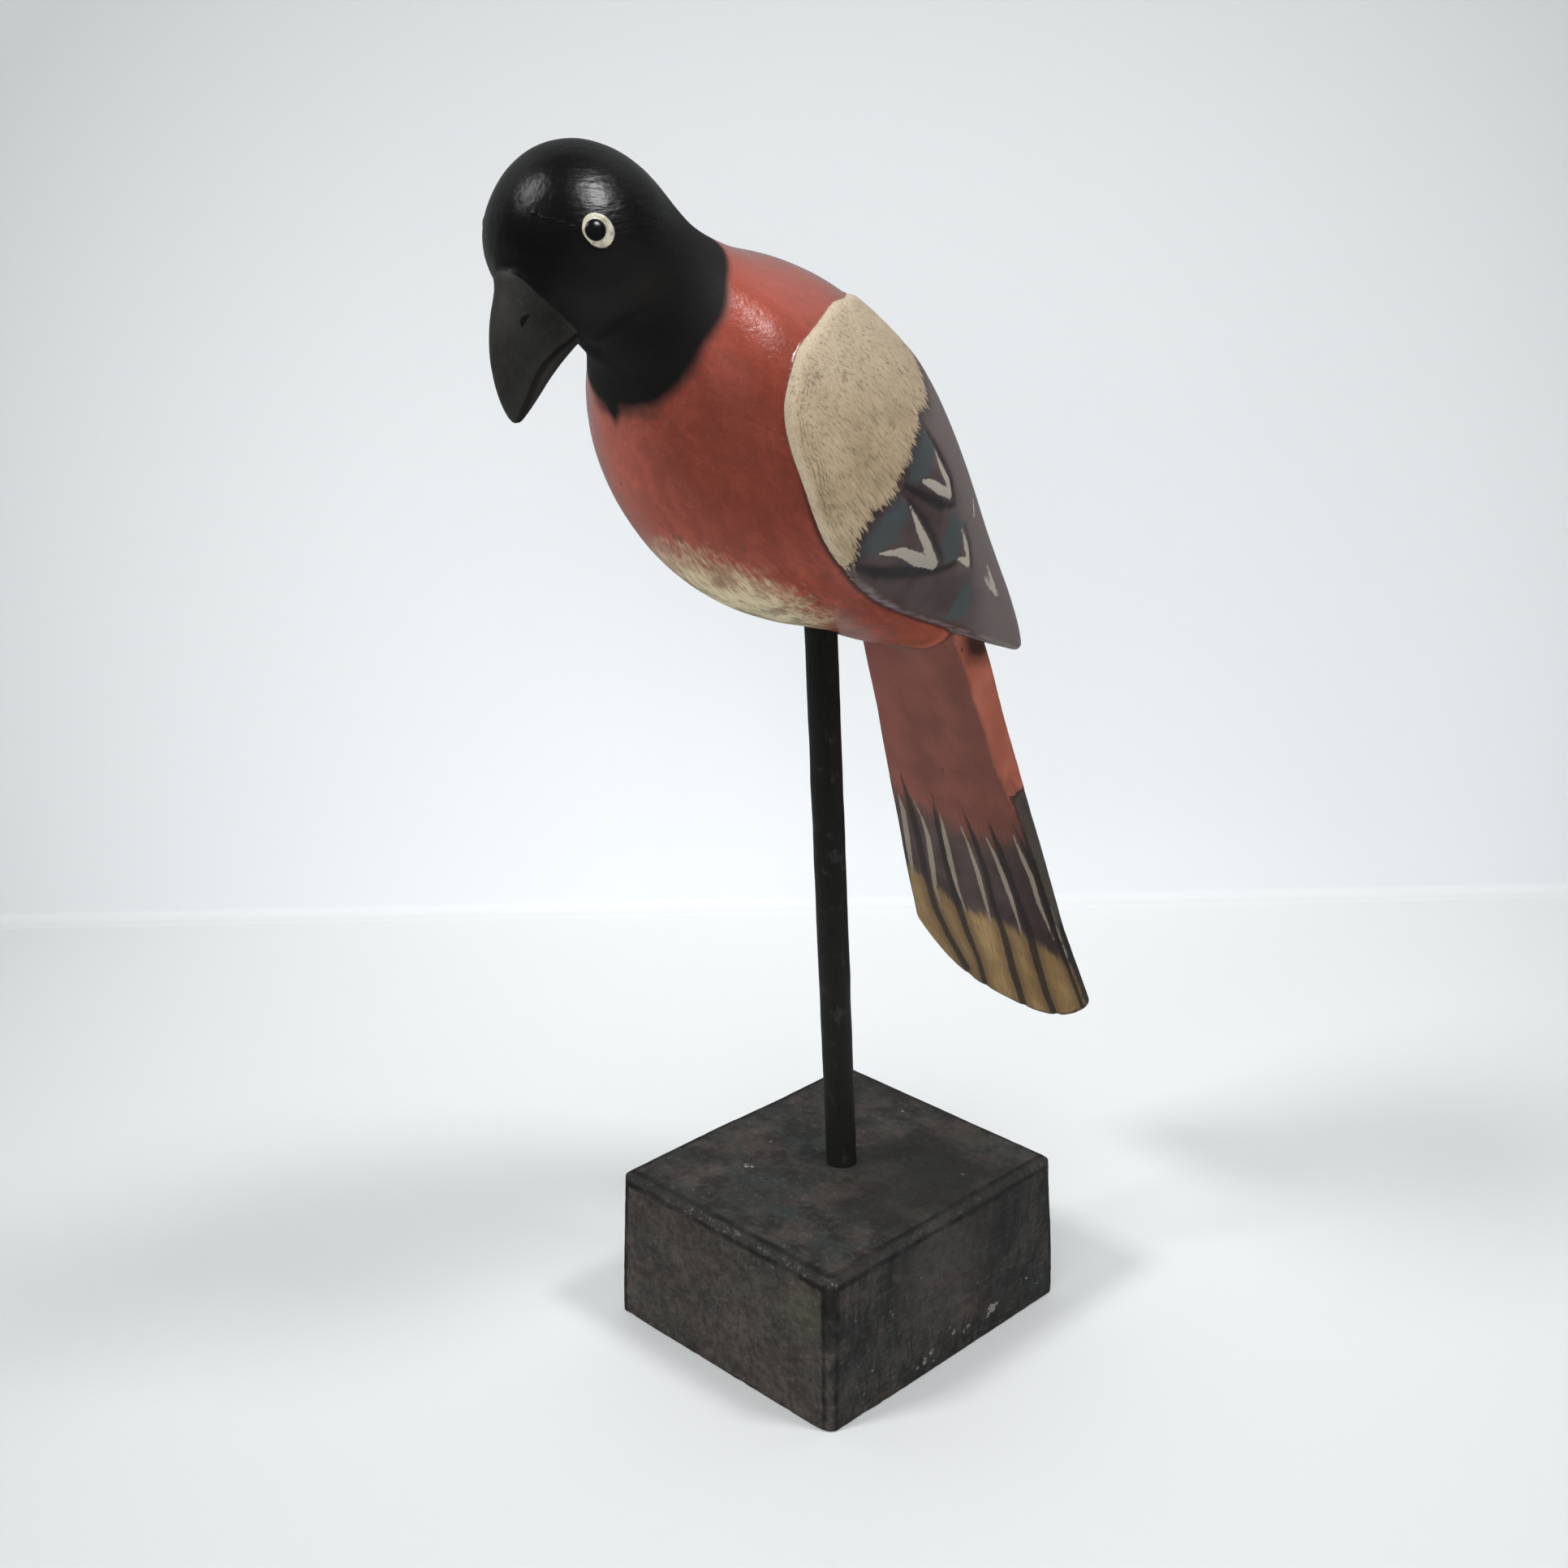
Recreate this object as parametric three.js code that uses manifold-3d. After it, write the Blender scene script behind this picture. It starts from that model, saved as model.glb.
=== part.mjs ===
// Carved wooden bird on a leaning rod and a chamfered plinth.
// Millimetres, +Z up. The origin is the middle of the plinth's underside.
// The bird looks towards -Y with its head bowed, and its left side is +X.
import * as THREE from "three";
import { mergeVertices } from "three/addons/utils/BufferGeometryUtils.js";
import Module from "manifold-3d";

const wasm = await Module();
wasm.setup();

// Driving dimensions
const fitGap = 0.3;

// The plinth's width and length are those of its top; the foot is wider by the flare on every side.
const plinth = {
  width: 75, length: 85, height: 41, footFlare: 1.2, topChamfer: 1.8, cornerChamfer: 1.8, footChamfer: 0.8,
};

const rod = { diameter: 7.8, footY: 1, leanDegrees: 3.2, plinthDepth: 15, topZ: 202 };
const rodSides = 24;
const rodHoleReach = { belowBird: 60, abovePlinth: 10 };

// The solid masses that the carver left: centre in the bird's middle plane, half sizes across,
// along and through, the pitch of the long axis from +Y towards +Z, and its fillet to the others.
const chest = { y: -27, z: 224.5, across: 35.5, along: 39, through: 28, pitch: -49.5 };
const back = { y: -8, z: 225, across: 29.5, along: 48.5, through: 26.5, pitch: -58, fillet: 14 };
const rump = { y: 13.5, z: 199, across: 18.5, along: 40, through: 11, pitch: -44, fillet: 20 };
const neck = { y: -42.5, z: 247.5, across: 24.5, along: 26.5, through: 18, pitch: -67.5, fillet: 18 };
const skull = { y: -73, z: 276.5, across: 17, along: 20.5, through: 17, pitch: -44 };
const brow = { y: -79, z: 273, across: 15.5, along: 10.5, through: 13.5, pitch: 50, fillet: 10 };
const headFillet = 20;

// The folded wings stand proud of the body. Each runs out into a flat quill blade past the rump.
const wingRelief = 2;
const quills = { x: 12, y: 15, z: 203.5, across: 11, along: 51, through: 7.5, pitch: -47, fillet: 12 };
const wingParting = 2.4;
// Leading edge and lower edge of the wing in side view, [y, z], from the shoulder to the tip.
const wingEdge = [
  [-4, 264], [-25.5, 261.8], [-41, 256], [-48.3, 243],
  [-45.7, 230], [-36, 212.3], [-15.9, 197.6], [23.2, 180.9], [43.5, 172.6],
];
const wingEdgeSteps = 32;
const wingBehind = { y: 62, z: 275 };
const wingBlock = { reach: 50, height: 200, middleY: 20, middleZ: 240 };

// The beak is a bent cone from inside the head to its blunt point.
const beak = { baseY: -83, baseZ: 265, tipY: -93.3, tipZ: 242.4, halfWidth: 6.9, halfDepth: 12.3 };
const beakTaper = { power: 0.93, bluntness: 0.59, bend: 2.4, lastRing: 0.995 };
const beakRings = 12;
const beakSides = 20;

// The tail is a board: flat in front, thick at the root, thin at its rounded end.
const tail = {
  rootY: 22.8, rootZ: 177.7, slopeDegrees: 20.7, leanDegrees: 1.2,
  rootInset: 7, length: 121, rootHalfWidth: 16, halfWidthGain: 0.1195,
  rootThickness: 9.7, endThickness: 2.2, thinAt: 86,
  roundingFrom: 93, roundingPower: 2.6, lastRing: 0.9985, endSweep: 3.6, arris: 0.7,
};
const tailStraightRings = 7;
const tailEndRings = 10;

// Round eyes, let into sockets on both sides of the head.
const eye = { x: 16.1, y: -84, z: 279.4, radius: 3.6, stand: 1.3, depth: 2.2, rimHeight: 0.5 };
const eyeSides = 28;
const eyeDomeSteps = 6;

// Spacing of the facets on the carved masses, and the box that holds them.
const bodyFacet = 4;
const wingFacet = 3.8;
const carvingBox = [[-46, -110, 150], [46, 76, 306]];

// Signed distance to one mass, negative inside.
function massField(mass) {
  const pitch = THREE.MathUtils.degToRad(mass.pitch);
  const cos = Math.cos(pitch);
  const sin = Math.sin(pitch);
  return (x, y, z) => {
    const along = cos * (y - mass.y) + sin * (z - mass.z);
    const through = -sin * (y - mass.y) + cos * (z - mass.z);
    const unit = Math.hypot(x / mass.across, along / mass.along, through / mass.through) + 1e-9;
    const slope = Math.hypot(x / mass.across ** 2, along / mass.along ** 2, through / mass.through ** 2) + 1e-9;
    return unit * (unit - 1) / slope;
  };
}

// Union of two fields with a fillet of the given size.
function filleted(a, b, size) {
  const overlap = Math.max(size - Math.abs(a - b), 0) / size;
  return Math.min(a, b) - overlap * overlap * size / 4;
}

const chestField = massField(chest);
const backField = massField(back);
const rumpField = massField(rump);
const neckField = massField(neck);
const skullField = massField(skull);
const browField = massField(brow);
const quillField = massField(quills);

// Body, neck and head as one flowing mass.
function bodyField(x, y, z) {
  let trunk = filleted(chestField(x, y, z), backField(x, y, z), back.fillet);
  trunk = filleted(trunk, rumpField(x, y, z), rump.fillet);
  trunk = filleted(trunk, neckField(x, y, z), neck.fillet);
  const head = filleted(skullField(x, y, z), browField(x, y, z), brow.fillet);
  return filleted(trunk, head, headFillet);
}

// The same mass swelled by the wing relief, with both quill blades.
function wingField(x, y, z) {
  const blade = quillField(Math.abs(x) - quills.x, y, z);
  return filleted(bodyField(x, y, z) - wingRelief, blade, quills.fillet);
}

// Outward direction of a field at a point.
function fieldNormal(field, point) {
  const step = 0.05;
  const { x, y, z } = point;
  return new THREE.Vector3(
    field(x + step, y, z) - field(x - step, y, z),
    field(x, y + step, z) - field(x, y - step, z),
    field(x, y, z + step) - field(x, y, z - step),
  ).divideScalar(2 * step);
}

// Closed facets over the zero surface of a field: one vertex for each grid cell that the surface
// crosses, moved onto the surface, and one quad for each grid edge that it crosses.
function fieldGeometry(field, low, high, spacing) {
  const count = [0, 1, 2].map((axis) => Math.ceil((high[axis] - low[axis]) / spacing) + 1);
  const indexOf = (i, j, k) => (i * count[1] + j) * count[2] + k;
  const place = (i, j, k) => [low[0] + i * spacing, low[1] + j * spacing, low[2] + k * spacing];
  const values = new Float64Array(count[0] * count[1] * count[2]);
  for (let i = 0; i < count[0]; i += 1) {
    for (let j = 0; j < count[1]; j += 1) {
      for (let k = 0; k < count[2]; k += 1) {
        values[indexOf(i, j, k)] = field(...place(i, j, k));
      }
    }
  }
  const corners = [];
  for (let corner = 0; corner < 8; corner += 1) {
    corners.push([corner & 1, (corner >> 1) & 1, (corner >> 2) & 1]);
  }
  const vertexOf = new Map();
  const positions = [];
  for (let i = 0; i < count[0] - 1; i += 1) {
    for (let j = 0; j < count[1] - 1; j += 1) {
      for (let k = 0; k < count[2] - 1; k += 1) {
        const crossing = cellCrossing(values, corners, indexOf, i, j, k);
        if (crossing) {
          const point = new THREE.Vector3(...low).addScaledVector(crossing, spacing);
          vertexOf.set(indexOf(i, j, k), positions.length);
          positions.push(settle(field, point, spacing));
        }
      }
    }
  }
  const triangles = gridQuads(values, count, indexOf, vertexOf);
  const geometry = new THREE.BufferGeometry().setFromPoints(positions);
  geometry.setIndex(triangles);
  return geometry;
}

// Mean of the surface crossings on a cell's twelve edges, in grid units, or null.
function cellCrossing(values, corners, indexOf, i, j, k) {
  const sum = new THREE.Vector3();
  let crossings = 0;
  for (let a = 0; a < 8; a += 1) {
    for (let axis = 0; axis < 3; axis += 1) {
      const b = a | (1 << axis);
      if (b !== a) {
        const from = corners[a];
        const to = corners[b];
        const valueA = values[indexOf(i + from[0], j + from[1], k + from[2])];
        const valueB = values[indexOf(i + to[0], j + to[1], k + to[2])];
        if ((valueA < 0) !== (valueB < 0)) {
          const share = valueA / (valueA - valueB);
          const edge = new THREE.Vector3(...to).sub(new THREE.Vector3(...from));
          sum.add(new THREE.Vector3(...from).addScaledVector(edge, share));
          crossings += 1;
        }
      }
    }
  }
  if (crossings === 0) {
    return null;
  }
  return sum.divideScalar(crossings).add(new THREE.Vector3(i, j, k));
}

// Moves a point onto the zero surface, along the field's slope.
function settle(field, point, spacing) {
  const rounds = 3;
  for (let round = 0; round < rounds; round += 1) {
    const slope = fieldNormal(field, point);
    const value = field(point.x, point.y, point.z);
    const step = THREE.MathUtils.clamp(value / slope.lengthSq(), -spacing / 2, spacing / 2);
    point.addScaledVector(slope, -step);
  }
  return point;
}

// Two triangles around each grid edge whose ends lie on different sides of the surface.
function gridQuads(values, count, indexOf, vertexOf) {
  const triangles = [];
  const unit = [[1, 0, 0], [0, 1, 0], [0, 0, 1]];
  for (let i = 1; i < count[0] - 1; i += 1) {
    for (let j = 1; j < count[1] - 1; j += 1) {
      for (let k = 1; k < count[2] - 1; k += 1) {
        const inside = values[indexOf(i, j, k)] < 0;
        for (let axis = 0; axis < 3; axis += 1) {
          const ahead = unit[axis];
          const u = unit[(axis + 1) % 3];
          const v = unit[(axis + 2) % 3];
          const insideAhead = values[indexOf(i + ahead[0], j + ahead[1], k + ahead[2])] < 0;
          if (inside !== insideAhead) {
            const around = [[1, 1], [0, 1], [0, 0], [1, 0]].map(([a, b]) => vertexOf.get(
              indexOf(i - a * u[0] - b * v[0], j - a * u[1] - b * v[1], k - a * u[2] - b * v[2]),
            ));
            const ring = inside ? around : around.reverse();
            triangles.push(ring[0], ring[1], ring[2], ring[0], ring[2], ring[3]);
          }
        }
      }
    }
  }
  return triangles;
}

// Closed skin over a row of rings with equal point counts, fanned shut at both ends.
function loftGeometry(rings) {
  const sides = rings[0].length;
  const middle = (ring) => ring.reduce((sum, p) => sum.add(p), new THREE.Vector3()).divideScalar(sides);
  const points = [...rings.flat(), middle(rings[0]), middle(rings.at(-1))];
  const first = points.length - 2;
  const last = points.length - 1;
  const triangles = [];
  for (let side = 0; side < sides; side += 1) {
    const next = (side + 1) % sides;
    for (let ring = 0; ring + 1 < rings.length; ring += 1) {
      const a = ring * sides + side;
      const b = ring * sides + next;
      const c = a + sides;
      const d = b + sides;
      triangles.push(a, b, d, a, d, c);
    }
    const end = (rings.length - 1) * sides;
    triangles.push(first, next, side, last, end + side, end + next);
  }
  const geometry = new THREE.BufferGeometry().setFromPoints(points);
  geometry.setIndex(triangles);
  return geometry;
}

// A boolean solid from a closed geometry, and the geometry of a boolean solid.
function solidOf(geometry) {
  const bare = geometry.clone();
  bare.deleteAttribute("normal");
  bare.deleteAttribute("uv");
  const merged = mergeVertices(bare, 1e-4);
  const mesh = new wasm.Mesh({
    numProp: 3,
    vertProperties: new Float32Array(merged.attributes.position.array),
    triVerts: new Uint32Array(merged.index.array),
  });
  const solid = new wasm.Manifold(mesh);
  return solid.volume() > 0 ? solid : new wasm.Manifold(flipped(mesh));
}

function flipped(mesh) {
  const triVerts = mesh.triVerts.slice();
  for (let t = 0; t < triVerts.length; t += 3) {
    [triVerts[t + 1], triVerts[t + 2]] = [triVerts[t + 2], triVerts[t + 1]];
  }
  return new wasm.Mesh({ numProp: 3, vertProperties: mesh.vertProperties, triVerts });
}

function geometryOf(solid) {
  const mesh = solid.getMesh();
  const geometry = new THREE.BufferGeometry();
  geometry.setAttribute("position", new THREE.BufferAttribute(mesh.vertProperties, 3));
  geometry.setIndex(new THREE.BufferAttribute(mesh.triVerts, 1));
  geometry.computeVertexNormals();
  return geometry;
}

// A round bar between two points.
function barGeometry(from, to, radius, sides) {
  const axis = to.clone().sub(from);
  const geometry = new THREE.CylinderGeometry(radius, radius, axis.length(), sides);
  const turn = new THREE.Quaternion().setFromUnitVectors(new THREE.Vector3(0, 1, 0), axis.clone().normalize());
  geometry.applyQuaternion(turn);
  const middle = from.clone().lerp(to, 0.5);
  geometry.translate(middle.x, middle.y, middle.z);
  return geometry;
}

// Both wings: the swelled mass kept inside the wing's side outline, parted along the back.
function wingSolid() {
  const swelled = solidOf(fieldGeometry(wingField, ...carvingBox, wingFacet));
  const edge = new THREE.SplineCurve(wingEdge.map(([y, z]) => new THREE.Vector2(y, z)));
  const outline = edge.getPoints(wingEdgeSteps);
  outline.push(new THREE.Vector2(wingBehind.y, wingEdge.at(-1)[1]));
  outline.push(new THREE.Vector2(wingBehind.y, wingBehind.z));
  outline.push(new THREE.Vector2(wingEdge[0][0], wingBehind.z));
  const shape = new THREE.Shape(outline);
  const block = new THREE.ExtrudeGeometry(shape, { depth: 2 * wingBlock.reach, bevelEnabled: false });
  const sideways = new THREE.Matrix4().makeBasis(
    new THREE.Vector3(0, 1, 0),
    new THREE.Vector3(0, 0, 1),
    new THREE.Vector3(1, 0, 0),
  );
  block.applyMatrix4(sideways);
  block.translate(-wingBlock.reach, 0, 0);
  const parting = new THREE.BoxGeometry(wingParting, wingBlock.height, wingBlock.height);
  parting.translate(0, wingBlock.middleY, wingBlock.middleZ);
  return swelled.intersect(solidOf(block)).subtract(solidOf(parting));
}

// Rings of the beak from its hidden base to its blunt point.
function beakSolid() {
  const base = new THREE.Vector3(0, beak.baseY, beak.baseZ);
  const axis = new THREE.Vector3(0, beak.tipY, beak.tipZ).sub(base);
  const ridge = new THREE.Vector3(0, axis.z, -axis.y).normalize();
  const rings = [];
  for (let ring = 0; ring < beakRings; ring += 1) {
    const t = beakTaper.lastRing * Math.sin((Math.PI / 2) * ring / (beakRings - 1));
    const size = (1 - t ** beakTaper.power) ** beakTaper.bluntness;
    const centre = base.clone().addScaledVector(axis, t);
    centre.addScaledVector(ridge, 4 * beakTaper.bend * t * (1 - t));
    rings.push(Array.from({ length: beakSides }, (_, side) => {
      const angle = 2 * Math.PI * side / beakSides;
      const point = centre.clone().addScaledVector(ridge, beak.halfDepth * size * Math.cos(angle));
      point.x += beak.halfWidth * size * Math.sin(angle);
      return point;
    }));
  }
  return solidOf(loftGeometry(rings));
}

// The tail's own directions: down its length, across it, and out of its back face.
function tailAxes() {
  const slope = THREE.MathUtils.degToRad(tail.slopeDegrees);
  const lean = THREE.MathUtils.degToRad(tail.leanDegrees);
  const down = new THREE.Vector3(
    Math.sin(lean),
    Math.sin(slope) * Math.cos(lean),
    -Math.cos(slope) * Math.cos(lean),
  );
  const rear = new THREE.Vector3(0, Math.cos(slope), Math.sin(slope));
  const across = new THREE.Vector3().crossVectors(down, rear).normalize();
  return { down, rear, across };
}

// Half width, sideways shift and thickness of the tail at a distance down its length.
function tailSection(distance) {
  const spread = tail.rootHalfWidth + tail.halfWidthGain * Math.min(distance, tail.roundingFrom);
  const past = Math.max(distance - tail.roundingFrom, 0) / (tail.length - tail.roundingFrom);
  const round = (1 - Math.min(past, 1) ** tail.roundingPower) ** (1 / tail.roundingPower);
  const taper = Math.max(1 - distance / tail.thinAt, 0);
  return {
    half: spread * round,
    shift: tail.endSweep * past * past,
    thickness: tail.endThickness + (tail.rootThickness - tail.endThickness) * taper,
  };
}

// One ring of the tail: a rectangle with its four arrises taken off.
function tailRing(distance) {
  const { down, rear, across } = tailAxes();
  const { half, shift, thickness } = tailSection(distance);
  const arris = Math.min(tail.arris, half / 2, thickness / 3);
  const outline = [
    [half - arris, 0], [half, arris], [half, thickness - arris], [half - arris, thickness],
    [arris - half, thickness], [-half, thickness - arris], [-half, arris], [arris - half, 0],
  ];
  return outline.map(([side, out]) => new THREE.Vector3(0, tail.rootY, tail.rootZ)
    .addScaledVector(down, distance)
    .addScaledVector(across, -side + (across.x < 0 ? -shift : shift))
    .addScaledVector(rear, out));
}

function tailSolid() {
  const rings = [];
  for (let ring = 0; ring < tailStraightRings; ring += 1) {
    const share = ring / tailStraightRings;
    rings.push(tailRing(-tail.rootInset + share * (tail.roundingFrom + tail.rootInset)));
  }
  for (let ring = 0; ring <= tailEndRings; ring += 1) {
    const share = tail.lastRing * Math.sin((Math.PI / 2) * ring / tailEndRings);
    rings.push(tailRing(tail.roundingFrom + share * (tail.length - tail.roundingFrom)));
  }
  return solidOf(loftGeometry(rings));
}

// Points of the rod's axis, found by height.
function rodAxisPoint(z) {
  const lean = Math.tan(THREE.MathUtils.degToRad(rod.leanDegrees));
  return new THREE.Vector3(0, rod.footY - lean * (z - plinth.height), z);
}

// A hole along the rod's axis between two heights.
function rodHole(fromZ, toZ) {
  return solidOf(barGeometry(rodAxisPoint(fromZ), rodAxisPoint(toZ), rod.diameter / 2 + fitGap, rodSides));
}

// Where an eye sits: its place on the head and the outward direction there.
function eyeSeat(side) {
  const place = new THREE.Vector3(side * eye.x, eye.y, eye.z);
  const outward = fieldNormal(bodyField, place).normalize();
  return { place, outward };
}

function eyeSocket(side) {
  const { place, outward } = eyeSeat(side);
  const floor = place.clone().addScaledVector(outward, -eye.depth - fitGap);
  const mouth = place.clone().addScaledVector(outward, 4 * eye.stand);
  return solidOf(barGeometry(floor, mouth, eye.radius + fitGap, eyeSides));
}

// A turned button with a domed face.
function eyeGeometry(side) {
  const { place, outward } = eyeSeat(side);
  const profile = [new THREE.Vector2(0, -eye.depth), new THREE.Vector2(eye.radius, -eye.depth)];
  for (let step = 0; step <= eyeDomeSteps; step += 1) {
    const angle = (Math.PI / 2) * step / eyeDomeSteps;
    const height = eye.rimHeight + (eye.stand - eye.rimHeight) * Math.sin(angle);
    profile.push(new THREE.Vector2(step === eyeDomeSteps ? 0 : eye.radius * Math.cos(angle), height));
  }
  const geometry = new THREE.LatheGeometry(profile, eyeSides);
  geometry.applyQuaternion(new THREE.Quaternion().setFromUnitVectors(new THREE.Vector3(0, 1, 0), outward));
  geometry.translate(place.x, place.y, place.z);
  return geometryOf(solidOf(geometry));
}

// The whole carving, with the rod's hole in its belly and a socket for each eye.
function birdGeometry() {
  const body = solidOf(fieldGeometry(bodyField, ...carvingBox, bodyFacet));
  let carving = body.add(wingSolid()).add(tailSolid()).add(beakSolid());
  carving = carving.subtract(rodHole(rod.topZ - rodHoleReach.belowBird, rod.topZ + fitGap));
  carving = carving.subtract(eyeSocket(1)).subtract(eyeSocket(-1));
  return geometryOf(carving);
}

function rodGeometry() {
  const foot = rodAxisPoint(plinth.height - rod.plinthDepth);
  return barGeometry(foot, rodAxisPoint(rod.topZ), rod.diameter / 2, rodSides);
}

// Corner-cut outline of the plinth at one height, shrunk by an inset.
function plinthRing(z, inset) {
  const x = plinth.width / 2 - inset;
  const y = plinth.length / 2 - inset;
  const cut = plinth.cornerChamfer;
  const outline = [
    [x - cut, -y], [x, cut - y], [x, y - cut], [x - cut, y],
    [cut - x, y], [-x, y - cut], [-x, cut - y], [cut - x, -y],
  ];
  return outline.map(([px, py]) => new THREE.Vector3(px, py, z));
}

function plinthGeometry() {
  const block = solidOf(loftGeometry([
    plinthRing(0, plinth.footChamfer - plinth.footFlare),
    plinthRing(plinth.footChamfer, -plinth.footFlare),
    plinthRing(plinth.height - plinth.topChamfer, 0),
    plinthRing(plinth.height, plinth.topChamfer),
  ]));
  const hole = rodHole(plinth.height - rod.plinthDepth - fitGap, plinth.height + rodHoleReach.abovePlinth);
  return geometryOf(block.subtract(hole));
}

// Finishes
const paintedBird = new THREE.MeshStandardMaterial({ color: 0x8f4436, roughness: 0.5, metalness: 0 });
const eyeFinish = new THREE.MeshStandardMaterial({ color: 0xd8d2b8, roughness: 0.25, metalness: 0 });
const rodPaint = new THREE.MeshStandardMaterial({ color: 0x26282a, roughness: 0.75, metalness: 0 });
const plinthPaint = new THREE.MeshStandardMaterial({ color: 0x3a3634, roughness: 0.7, metalness: 0 });

function named(name, geometry, material) {
  const mesh = new THREE.Mesh(geometry, material);
  mesh.name = name;
  return mesh;
}

const carvedBird = new THREE.Group();
carvedBird.add(named("plinth", plinthGeometry(), plinthPaint));
carvedBird.add(named("rod", rodGeometry(), rodPaint));
carvedBird.add(named("bird", birdGeometry(), paintedBird));
carvedBird.add(named("eye_left", eyeGeometry(1), eyeFinish));
carvedBird.add(named("eye_right", eyeGeometry(-1), eyeFinish));

export default carvedBird;
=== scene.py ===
import math
from functools import reduce
from itertools import product

import bpy
import numpy as np
from mathutils import Matrix, Vector


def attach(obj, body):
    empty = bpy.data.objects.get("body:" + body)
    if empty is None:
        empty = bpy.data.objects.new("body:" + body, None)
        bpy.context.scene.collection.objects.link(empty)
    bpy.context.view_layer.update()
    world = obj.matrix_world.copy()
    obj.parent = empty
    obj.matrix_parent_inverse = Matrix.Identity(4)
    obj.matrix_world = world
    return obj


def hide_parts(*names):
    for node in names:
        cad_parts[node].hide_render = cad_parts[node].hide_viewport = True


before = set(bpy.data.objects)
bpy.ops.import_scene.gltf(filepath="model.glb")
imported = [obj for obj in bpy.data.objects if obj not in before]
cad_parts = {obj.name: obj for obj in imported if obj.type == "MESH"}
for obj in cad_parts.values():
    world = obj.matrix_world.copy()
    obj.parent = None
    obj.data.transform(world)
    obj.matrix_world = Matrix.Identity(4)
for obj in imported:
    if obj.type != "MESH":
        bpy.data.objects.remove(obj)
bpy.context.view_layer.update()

# The bird is carved in millimetres, in the model's own frame: the origin is the middle of the
# plinth's underside, the bird looks towards -Y and its left side is +X.
MM = 0.001
SKIN_SPACING = 0.75
PLINTH_SPACING = 0.9
CELLS_A_BLOCK = 8

# Sizes of the carving

# Each mass: centre y and z, half sizes across, along and through, pitch of its long axis in degrees.
CHEST = (-27.0, 224.5, 35.5, 39.0, 28.0, -49.5)
BACK = (-8.0, 225.0, 29.5, 48.5, 26.5, -58.0)
RUMP = (13.5, 199.0, 18.5, 40.0, 11.0, -44.0)
NECK = (-42.5, 247.5, 24.5, 26.5, 18.0, -67.5)
SKULL = (-73.0, 276.5, 17.0, 20.5, 17.0, -44.0)
BROW = (-79.0, 273.0, 15.5, 10.5, 13.5, 50.0)
BACK_FILLET, RUMP_FILLET, NECK_FILLET, BROW_FILLET, HEAD_FILLET = 14, 20, 18, 10, 20

# Lower edge of the cheek, from the throat out and up. Behind it the throat is hollowed out.
CHEEK_EDGE = [(0.0, -75.6, 255.6), (8.1, -77.5, 258.9), (13.3, -76.6, 262.3), (16.3, -73.5, 265.7)]
CHEEK_STEP, CHEEK_SLOPE = 1.2, (0.853, -0.522)

# A thin crease in the paint in front of each eye.
FOREHEAD_CREASE = [(6.5, -92.0, 282.5), (8.0, -91.5, 282.0), (9.3, -90.9, 281.4), (10.7, -89.9, 281.4),
                   (12.0, -89.1, 280.8), (12.8, -88.4, 280.5), (13.4, -87.8, 280.1), (13.7, -87.4, 280.4)]
CREASE_HALF_WIDTH = 0.16

# Wings: proud of the body, cut to this edge in side view (y, z), and run out into quill blades.
WING_RELIEF, WING_TOP_RELIEF = 2.0, 1.0
QUILLS, QUILL_X, QUILL_FILLET = (15.0, 203.5, 11.0, 51.0, 7.5, -47.0), 12.0, 12
WING_EDGE = [(-4, 262.4), (-15.5, 261.7), (-25.3, 261.2), (-38.9, 256.5), (-44.4, 251.8), (-48.0, 242.5),
             (-45.3, 230), (-35.7, 212.3), (-15.9, 197.6), (23.2, 180.9), (43.5, 172.6)]
WING_BEHIND = [(62, 172.6), (62, 275), (-4, 275)]
# The wings stand apart by this much down the back, and their inner corners are rounded off by these.
WING_PARTING, WING_ROUNDING = 1.2, (9.0, 6.0)
WING_EDGE_ROUNDING, PARTING_ROUNDING, SCALLOP_DEPTH = 1.6, 1.5, 0.45

# Beak: from its hidden base to its blunt point, with the line of the mouth along its side.
BEAK_BASE, BEAK_TIP = (-83.05, 265.11), (-93.34, 242.44)
BEAK_HALF_WIDTH, BEAK_HALF_DEPTH, BEAK_BEND = 7.3, 12.35, 2.44
BEAK_POWER, BEAK_BLUNTNESS, BEAK_REACH = 0.93, 0.59, 24.9
BEAK_FILLET, BEAK_RIDGE_FILLET, MOUTH_NARROWING, MOUTH_GROOVE = 0.8, 4.0, 0.17, 0.35
MOUTH = [(0.0, -7.5), (0.23, -5.2), (0.34, -3.4), (0.48, -1.6), (0.6, -0.9), (0.76, -0.7), (1.0, 0.3)]
# The nostril is painted, not carved: a black crescent of painted shade.
NOSTRIL = [(5.15, 5.8, 0.1), (5.4, 6.3, 0.35), (6.0, 6.7, 0.55), (6.9, 6.55, 0.5), (7.7, 6.0, 0.12)]

# Tail board: place of its root, slope, sideways lean, half widths, thickness and end.
TAIL_ROOT, TAIL_SLOPE, TAIL_LEAN = (0.0, 22.8, 177.7), 20.7, 1.2
TAIL_HALF, TAIL_GAIN = 15.95, 0.1195
TAIL_THICK, TAIL_THIN, TAIL_THIN_AT = 9.7, 1.95, 86.0
TAIL_LENGTH, TAIL_CREST, TAIL_NICK = 118.2, 2.6, 0.5
TAIL_FILLET, TAIL_SIDE_ROUNDING, TAIL_END_ROUNDING = 3.0, 1.3, 1.5
# How its end is rounded off towards the right and the left: distance across, power and depth.
TAIL_CORNERS = (26.6, 3.0, 17), (30.0, 4.6, 9)
# The dark rim round the tail's tips: its width, and how far down the board it starts.
TAIL_RIM, TAIL_RIM_FROM = 0.9, 44

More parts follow.
